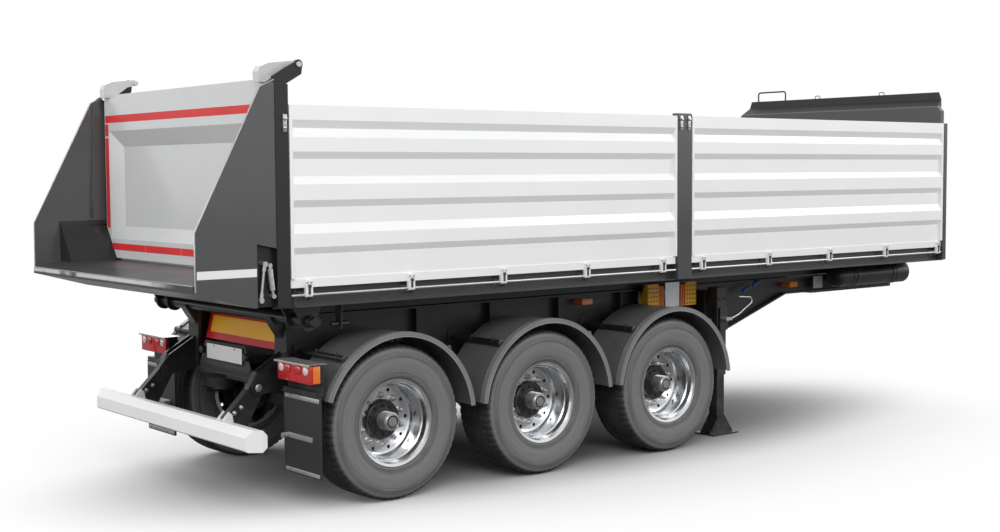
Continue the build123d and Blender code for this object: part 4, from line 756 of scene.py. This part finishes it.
class TRAILER_OT_build_chute_trim(bpy.types.Operator):
    """White stripes and bright edge beads of the chute's side plates"""
    bl_idname = "trailer.build_chute_trim"
    bl_label = "Chute stripes and edges"

    def execute(self, context):
        half = context.scene.trailer_fittings.stripe_width / 2
        height, film, bead_inset = 1.6, 0.0006, 0.004
        stripe_rear, stripe_front = along(-1.503), along(-1.097)
        lip_z, lip_reach = 1.536, 1.25
        stripe, bead = Shape(), Shape()
        for side in SIDES:
            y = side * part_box("chute_plates")[1].y
            stripe.box((stripe_rear, y, height - half), (stripe_front, y + side * film, height + half))
            bead.rod([(along(station), y - side * bead_inset, z) for station, z in (
                (-1.512, 1.497), (-1.512, 1.857), (-1.057, 2.74), (-0.957, 2.785))], 0.0055, 8)
        lip_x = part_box("chute_floor")[0].x + 0.002
        bead.rod([(lip_x, -lip_reach, lip_z), (lip_x, lip_reach, lip_z)], 0.004, 8)
        attach("chute_stripe", stripe, paint("stripe_white", (0.8, 0.8, 0.8), 0.3), "bed")
        attach("chute_edges", bead, zinc_plate("scuffed_edge", (0.32, 0.32, 0.33), 0.42),
               "bed")
        return {"FINISHED"}


class TRAILER_OT_build_lamps(bpy.types.Operator):
    """Lens blocks of the two tail lamps, with their cover plates"""
    bl_idname = "trailer.build_lamps"
    bl_label = "Tail lamps"

    def execute(self, context):
        low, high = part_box("tail_lamps")
        face, inner, margin = low.x, 0.815, 0.006
        red, clear, amber, covers, triangle = Shape(), Shape(), Shape(), Shape(), Shape()
        for side in SIDES:
            start, outer = side * inner, side * high.y
            span = abs(outer - start) - 0.016
            red.box((face - 0.004, start + side * margin, low.z + margin),
                    (face + 0.016, outer - side * 0.004, high.z - margin), 0.005)
            amber.box((face + 0.012, outer - side * 0.01, low.z + 0.01),
                      (face + 0.064, outer + side * 0.003, high.z - 0.01), 0.004)
            for share, shape, radius in (
                    (0.13, clear, 0.03), (0.34, red, 0.031), (0.66, red, 0.031), (0.87, clear, 0.03)):
                y = start + side * (margin + span * share)
                shape.turned((face - 0.003, y, high.z - 0.042), (-1, 0, 0), (
                    (0, radius), (0.006, radius), (0.01, radius * 0.86), (0.0135, radius * 0.55),
                    (0.0145, 0)), 32)
            y = start + side * (margin + span * 0.5)
            triangle.slab([(face - 0.004, y + dy, low.z + z) for dy, z in (
                (-0.05, 0.012), (0.05, 0.012), (0, 0.088))], (-0.004, 0, 0))
            for near, far, z in ((-0.02, high.x - face + 0.02, 0.0005), (-0.021, -0.018, -0.01)):
                covers.box((face + near, start - side * 0.01, high.z + z),
                           (face + far, outer + side * 0.004, high.z + 0.0035), 0.001)
        attach("lamp_red", red, lens("red_lens", (0.55, 0.014, 0.014)))
        attach("lamp_clear", clear, lens("clear_lens", (0.75, 0.62, 0.62)))
        attach("lamp_amber", amber, lens("amber_lens", (0.85, 0.2, 0.008), 2))
        attach("lamp_triangle", triangle, reflecting_tape(
            "triangle_red", context.scene.trailer_paint.red, (0.6, 0.03, 0.03)))
        attach("lamp_covers", covers, zinc_plate("cover_plating", (0.6, 0.585, 0.57), 0.42))
        return {"FINISHED"}


class TRAILER_OT_build_plate(bpy.types.Operator):
    """Blank number plate with its frame and bolts, and the blank strip below it"""
    bl_idname = "trailer.build_plate"
    bl_label = "Blank number plate"

    def execute(self, context):
        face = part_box("plate_panel")[0].x
        back = face - 0.0002
        half, low, high, rim = 0.266, 0.882, 1.004, 0.006
        plate_inset, bolt_y, bolt_z = 0.008, 0.15, 0.985
        plug_y, plug_z = 0.315, 0.945
        strip_half, strip_low, strip_high = 0.355, 0.806, 0.866
        aft = (-1, 0, 0)
        plate, holder = Shape(), Shape()
        plate.box((face - 0.0025, plate_inset - half, 0.889), (back, half - plate_inset, 0.997), 0.001)
        for y0, y1, z0, z1 in ((-half, half, low, low + rim), (-half, half, high - rim, high),
                               (-half, -half + 0.007, low, high), (half - 0.007, half, low, high)):
            holder.box((face - 0.005, y0, z0), (back, y1, z1), 0.001)
        for y in (-bolt_y, bolt_y):
            holder.turned((face - 0.0025, y, bolt_z), aft, (
                (0, 0.006), (0.002, 0.006), (0.0035, 0.003), (0.0036, 0)), 16)
        for side in SIDES:
            holder.turned((face + 0.001, side * plug_y, plug_z), aft, (
                (0, 0.028), (0.018, 0.028), (0.024, 0.024), (0.026, 0)), 24)
        holder.box((face - 0.001, -strip_half, strip_low), (face + 0.0045, strip_half, strip_high), 0.002)
        attach("number_plate", plate, paint("plate_white", (0.74, 0.74, 0.73), 0.35, 0.03))
        attach("plate_holder", holder, moulded("holder_plastic", (0.016, 0.016, 0.017), 0.42))
        return {"FINISHED"}


class TRAILER_OT_build_guard_trim(bpy.types.Operator):
    """Rolled edges of the mudguards, their clamps, and the strips on the mudflaps"""
    bl_idname = "trailer.build_guard_trim"
    bl_label = "Mudguard and mudflap trim"

    REAR_ENDS = (160.0, 174.0, 174.0)  # degrees from straight ahead at which each guard ends
    FRONT_END = 6.5
    BEADS = ((1.244, 0.6165, 0.0042), (1.203, 0.6175, 0.003), (1.247, 0.5885, 0.004))
    STAY_RADIUS, STAY_ANGLE = 0.6335, math.radians(48.0)
    CLAMPS = (0.86, 1.12)  # from the centre plane

    def guard(self, beads, clamps, centre_x, rear_end, side):
        """Beads along one guard's edges, and the clamps on its two stays."""
        steps = 56
        for y, radius, thick in self.BEADS:
            turns = [math.radians(self.FRONT_END + (rear_end - 7.5) * k / steps) for k in range(steps + 1)]
            beads.rod([(centre_x + radius * math.cos(turn), side * y, axle_height + radius * math.sin(turn))
                       for turn in turns], thick, 6)
        for lean in SIDES:
            x = centre_x + lean * self.STAY_RADIUS * math.cos(self.STAY_ANGLE)
            z = axle_height + self.STAY_RADIUS * math.sin(self.STAY_ANGLE)
            clamps.head((x, side * guard_face, z), (0, side, 0), 0.023, 0.019, 0.008)
            for y in self.CLAMPS:
                clamps.turned((x, side * y, z), (0, side, 0), ((-0.012, 0.0245), (0.012, 0.0245)), 20)
                clamps.nut((x + lean * 0.004, side * y, z + 0.0235), (0, 0, 1), 0.014, 0.01)

    def flap(self, strips, side):
        """Strips across the top and foot of one mudflap, with their bolts, and its middle bracket."""
        low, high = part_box("mudflaps")
        back = low.x - 0.0002
        for z0, z1 in ((high.z - 0.04, high.z - 0.012), (low.z + 0.008, low.z + 0.034)):
            strips.box((low.x - 0.0035, side * 0.82, z0), (back, side * 1.245, z1), 0.001)
            for k in range(5):
                y = side * (0.85 + 0.092 * k)
                strips.nut((low.x - 0.0035, y, (z0 + z1) / 2), (-1, 0, 0), 0.009, 0.005)
        for reach, end_y in ((0.06, 0.866), (0.004, 1.16)):
            strips.box((low.x - reach, side * 0.86, 0.47), (back, side * end_y, 0.505), 0.001)

    def execute(self, context):
        beads, clamps, strips = Shape(), Shape(), Shape()
        for index, rear_end in enumerate(self.REAR_ENDS):
            for side in SIDES:
                self.guard(beads, clamps, rear_axle + axle_pitch * index, rear_end, side)
        for side in SIDES:
            self.flap(strips, side)
        # The beads are coloured pale as painted highlights along the guards' edges.
        attach("guard_edges", beads, moulded("highlight_edge_plastic", (0.3, 0.3, 0.305), 0.28))
        attach("guard_clamps", clamps, paint("clamp_paint", (0.022, 0.022, 0.023), 0.4))
        attach("flap_strips", strips, zinc_plate("strip_plating", (0.55, 0.55, 0.55), 0.4))
        return {"FINISHED"}


class TRAILER_OT_build_underrun_trim(bpy.types.Operator):
    """Pivot washers and bolt heads of the underrun guard"""
    bl_idname = "trailer.build_underrun_trim"
    bl_label = "Underrun bolts"

    def execute(self, context):
        pins = Shape()
        arm_y, cheek = 0.66, 0.03
        pivot_x, pivot_z = along(-0.79), 0.793
        for side in SIDES:
            for face in SIDES:
                y = side * (arm_y + face * cheek)
                for station, z in ((-0.955, 0.64), (-0.905, 0.672)):
                    pins.nut((along(station), y, z), (0, side * face, 0), 0.02, 0.012)
            y = side * (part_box("underrun_arms")[1].y - 0.0005)
            pins.head((pivot_x, y, pivot_z), (0, side, 0), 0.026, 0.022, 0.007, 24)
        attach("underrun_pins", pins, zinc_plate("pin_plating", (0.52, 0.52, 0.53), 0.35), "underrun")
        return {"FINISHED"}


class TRAILER_OT_build_dropside_locks(bpy.types.Operator):
    """Hinge bolts and dark hooks of the dropsides, and the corner catches on the posts"""
    bl_idname = "trailer.build_dropside_locks"
    bl_label = "Dropside hooks"

    FIRST_HINGE = {"rear": -0.726, "front": 2.893}
    HINGE_PITCH, HINGES = 0.793, 5
    BOLT_Z, HOOK_FOOT, HOOK_TOP = 1.522, 1.446, 1.502
    FACE, POST_FACE = 1.2738, 1.2745  # from the centre plane
    CATCHES = ((-0.89, 2.52), (2.633, 2.58), (2.718, 2.58))

    def execute(self, context):
        bright = zinc_plate("hook_plating", (0.5, 0.5, 0.51), 0.34)
        dark = paint("hook_paint", (0.05, 0.05, 0.052), 0.4)
        for end, first in self.FIRST_HINGE.items():
            for side in SIDES:
                name = f"dropside_{end}_{SIDE_NAMES[side]}"
                bolts, hooks = Shape(), Shape()
                y, outward = side * self.FACE, (0, side, 0)
                for k in range(self.HINGES):
                    x = along(first + self.HINGE_PITCH * k)
                    for dx in (-0.015, 0.015):
                        bolts.nut((x + dx, y, self.BOLT_Z), outward, 0.01, 0.006)
                    hooks.box((x - 0.008, y - side * 0.002, self.HOOK_FOOT),
                              (x + 0.008, y + side * 0.007, self.HOOK_TOP), 0.003)
                    hooks.head((x, y + side * 0.001, 1.499), outward, 0.012, 0.009, 0.011)
                attach("bolts_" + name, bolts, bright, name)
                attach("hooks_" + name, hooks, dark, name)
        catches = Shape()
        for side in SIDES:
            outward = (0, side, 0)
            for station, z in self.CATCHES:
                x, y = along(station), side * self.POST_FACE
                catches.box((x - 0.014, y - side * 0.001, z - 0.055),
                            (x + 0.014, y + side * 0.008, z + 0.055), 0.003)
                catches.head((x, y + side * 0.004, z + 0.028), outward, 0.013, 0.009, 0.014)
                catches.head((x, y + side * 0.004, z - 0.03), outward, 0.01, 0.007, 0.012)
        attach("post_catches", catches, bright, "bed")
        return {"FINISHED"}


class TRAILER_OT_build_chassis_bolts(bpy.types.Operator):
    """Bolts of the spring hangers, legs and coupling neck, tank straps, and the brake couplings"""
    bl_idname = "trailer.build_chassis_bolts"
    bl_label = "Chassis bolts and couplings"

    def execute(self, context):
        bolts, plate, heads = Shape(), Shape(), Shape()
        hanger_y, hanger_z = 0.62, 0.692
        leg_x, leg_face = along(3.49), 0.926
        neck_y, neck_foot = 0.655, 1.0995
        coupling_x, coupling_z = along(6.15), 1.175
        for index in range(len(AXLES)):
            pivot = rear_axle + axle_pitch * index
            for side in SIDES:
                for dx in (-0.075, 0.075):
                    for dy in (-0.05, 0.05):
                        bolts.nut((pivot + dx, side * hanger_y + dy, hanger_z), (0, 0, 1), 0.024, 0.018)
        for side in SIDES:
            for z in (1.14, 1.055, 0.97):
                for dx in (-0.036, 0.036):
                    bolts.nut((leg_x + dx, side * leg_face, z), (0, side, 0), 0.016, 0.01)
            for k in range(6):
                bolts.nut((along(5.05 + 0.2 * k), side * neck_y, neck_foot), (0, 0, -1), 0.016, 0.01)
        low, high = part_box("air_tanks")
        strap_radius, strap_width, tank_y = 0.1055, 0.03, high.y - 0.1035
        for side in SIDES:
            for share in (0.25, 0.75):
                x = low.x + (high.x - low.x) * share - strap_width / 2
                bolts.turned((x, side * tank_y, (low.z + high.z) / 2), (1, 0, 0), (
                    (0, strap_radius), (strap_width, strap_radius)), 48)
        plate.box((along(4.984), -0.6895, 1.13), (along(5.114), -0.6855, 1.24), 0.001)
        for y in (-0.22, 0.22):
            heads.turned((coupling_x, y, coupling_z), (1, 0, 0), (
                (0, 0.02), (0.018, 0.02), (0.02, 0.028), (0.044, 0.028), (0.048, 0.022),
                (0.05, 0)), 24)
        for station, z, rise in ((4.00, 1.16, 0.04), (4.13, 1.205, 0.035)):
            run = Vector((0.09, 0.0, rise))
            heads.turned((along(station), -0.705, z), run, (
                (0, 0.011), (0.012, 0.017), (0.055, 0.017), (0.062, 0.012), (run.length, 0.012)), 20)
        attach("neck_plate", plate, paint("neck_plate_paint", (0.42, 0.42, 0.42), 0.4))
        attach("chassis_bolts", bolts, paint("bolt_paint", (0.03, 0.03, 0.031), 0.4))
        attach("air_couplings", heads, moulded("coupling_blue", (0.02, 0.1, 0.42), 0.35))
        return {"FINISHED"}


class TRAILER_OT_build_stage(bpy.types.Operator):
    """Pale floor, soft lights and the camera"""
    bl_idname = "trailer.build_stage"
    bl_label = "Studio"

    # Name, place, target, share of the key light's power, width, height
    LIGHTS = (
        ("key_light", (-7.5, -10.5, 8.5), (0, 0, 1), 1, 9, 6),
        ("fill_light", (-12, 2, 5), (-2, 0, 1.2), 0.45, 7, 5),
        ("front_light", (9, -8, 6), (1, 0, 1), 0.42, 7, 5),
        ("nose_light", (12, 3, 5), (3, 0, 1.5), 0.35, 6, 4),
        ("far_light", (2, 11, 8), (0, 0, 1.2), 0.55, 9, 5),
    )
    CAMERA_PLACE = (-7.8144, -9.0179, 2.2132)
    CAMERA_TURNS = ((-39.004, "Z"), (90.0 - 3.782, "X"), (-0.325, "Z"))  # heading, tilt and roll

    def execute(self, context):
        size = context.scene.trailer_stage
        self.build_floor(context)
        self.build_room(context, size.sky)
        for name, place, target, share, width, height in self.LIGHTS:
            light = bpy.data.lights.new(name, "AREA")
            light.shape, light.size, light.size_y = "RECTANGLE", width, height
            light.energy = size.key_power * share
            lamp = bpy.data.objects.new(name, light)
            lamp.location = place
            lamp.rotation_euler = (Vector(target) - Vector(place)).to_track_quat("-Z", "Y").to_euler()
            context.scene.collection.objects.link(lamp)
        self.build_camera(context, size.lens)
        context.scene.view_settings.view_transform = "Standard"
        return {"FINISHED"}

    def build_camera(self, context, focal_length):
        """Camera of the photo, found from about fifty of its points."""
        data = bpy.data.cameras.new("camera")
        data.sensor_width, data.lens, data.clip_start, data.clip_end = 36.0, focal_length, 0.1, 200.0
        camera = bpy.data.objects.new("camera", data)
        context.scene.collection.objects.link(camera)
        camera.matrix_world = Matrix.Translation(self.CAMERA_PLACE)
        for degrees, axis in self.CAMERA_TURNS:
            camera.matrix_world @= Matrix.Rotation(math.radians(degrees), 4, axis)
        context.scene.camera = camera

    def build_floor(self, context):
        """Floor with a soft shadow painted under the trailer, passing into plain white away from it."""
        shape = Shape()
        reach, level = 60.0, -0.0005
        shape.mesh.faces.new([shape.mesh.verts.new((x * reach, y * reach, level)) for x, y in (
            (-1, -1), (1, -1), (1, 1), (-1, 1))])
        floor = bpy.data.objects.new("floor", shape.data("floor"))
        context.scene.collection.objects.link(floor)
        finish = Finish("floor_white")
        x, y, _ = finish.place()
        away = ((x * x * 0.32 + y * y) ** 0.5).ramp(1.4, 4.2)
        # Painted shadow: under the trailer the floor's colour, as the camera sees it, darkens in a soft
        # patch.
        under = ((x * x * 0.075 + y * y * 0.55) ** 0.5).ramp(1.35, 0.55)
        seen = finish.value("LightPath", output="Is Camera Ray")
        pale = finish.mix(under, grey(0.88), grey(0.24))
        finish.surface(colour=finish.mix(seen, grey(0.22), pale), roughness=0.95, specular=0.0)
        white = finish.add("Emission", {"Color": grey(1.0), "Strength": 1.0})
        blend = finish.add("MixShader", {
            0: seen * away, 1: finish.shader.outputs[0], 2: white.outputs[0]})
        finish.feed(finish.output.inputs[0], blend.outputs[0])
        floor.data.materials.append(finish.material)

    def build_room(self, context, strength):
        """Even light from all round, which is plain white to the camera and in reflections."""
        world = bpy.data.worlds.new("studio")
        world.use_nodes = True
        room = Nodes(world.node_tree)
        plain, seen = (
            room.add("Background", {"Color": grey(1.0), "Strength": level}).outputs[0]
            for level in (strength, 1.0))
        path = room.add("LightPath").outputs
        either = Value(room, path["Is Camera Ray"]).maths("MAXIMUM", path["Is Glossy Ray"])
        mixed = room.add("MixShader", {0: either, 1: plain, 2: seen})
        room.add("OutputWorld", {0: mixed.outputs[0]})
        context.scene.world = world


OPERATORS = (
    TRAILER_OT_paint_parts, TRAILER_OT_build_tyres, TRAILER_OT_build_wheel_fittings,
    TRAILER_OT_build_gate_tape, TRAILER_OT_build_chute_trim, TRAILER_OT_build_lamps, TRAILER_OT_build_plate,
    TRAILER_OT_build_guard_trim, TRAILER_OT_build_underrun_trim, TRAILER_OT_build_dropside_locks,
    TRAILER_OT_build_chassis_bolts, TRAILER_OT_build_stage,
)
SETTINGS = {
    "trailer_paint": PaintSettings, "trailer_tyres": TyreSettings, "trailer_fittings": FittingSettings,
    "trailer_stage": StageSettings,
}


class TRAILER_PT_finish(bpy.types.Panel):
    """Lists the trailer's settings and its operators"""
    bl_idname = "TRAILER_PT_finish"
    bl_label = "Trailer finish"
    bl_space_type = "VIEW_3D"
    bl_region_type = "UI"
    bl_category = "Trailer"

    def draw(self, context):
        for group in SETTINGS:
            box = self.layout.box()
            settings = getattr(context.scene, group)
            for key in type(settings).__annotations__:
                box.prop(settings, key)
        for operator in OPERATORS:
            self.layout.operator(operator.bl_idname)


CLASSES = tuple(SETTINGS.values()) + OPERATORS + (TRAILER_PT_finish,)


def register():
    """Makes the settings, operators and panel known to Blender."""
    for cls in CLASSES:
        bpy.utils.register_class(cls)
    for group, cls in SETTINGS.items():
        setattr(bpy.types.Scene, group, bpy.props.PointerProperty(type=cls))


def unregister():
    """Takes them out again."""
    for group in SETTINGS:
        delattr(bpy.types.Scene, group)
    for cls in reversed(CLASSES):
        bpy.utils.unregister_class(cls)


def main():
    """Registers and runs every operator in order."""
    register()
    for operator in OPERATORS:
        getattr(bpy.ops.trailer, operator.bl_idname.split(".")[1])()


if __name__ == "__main__":
    main()
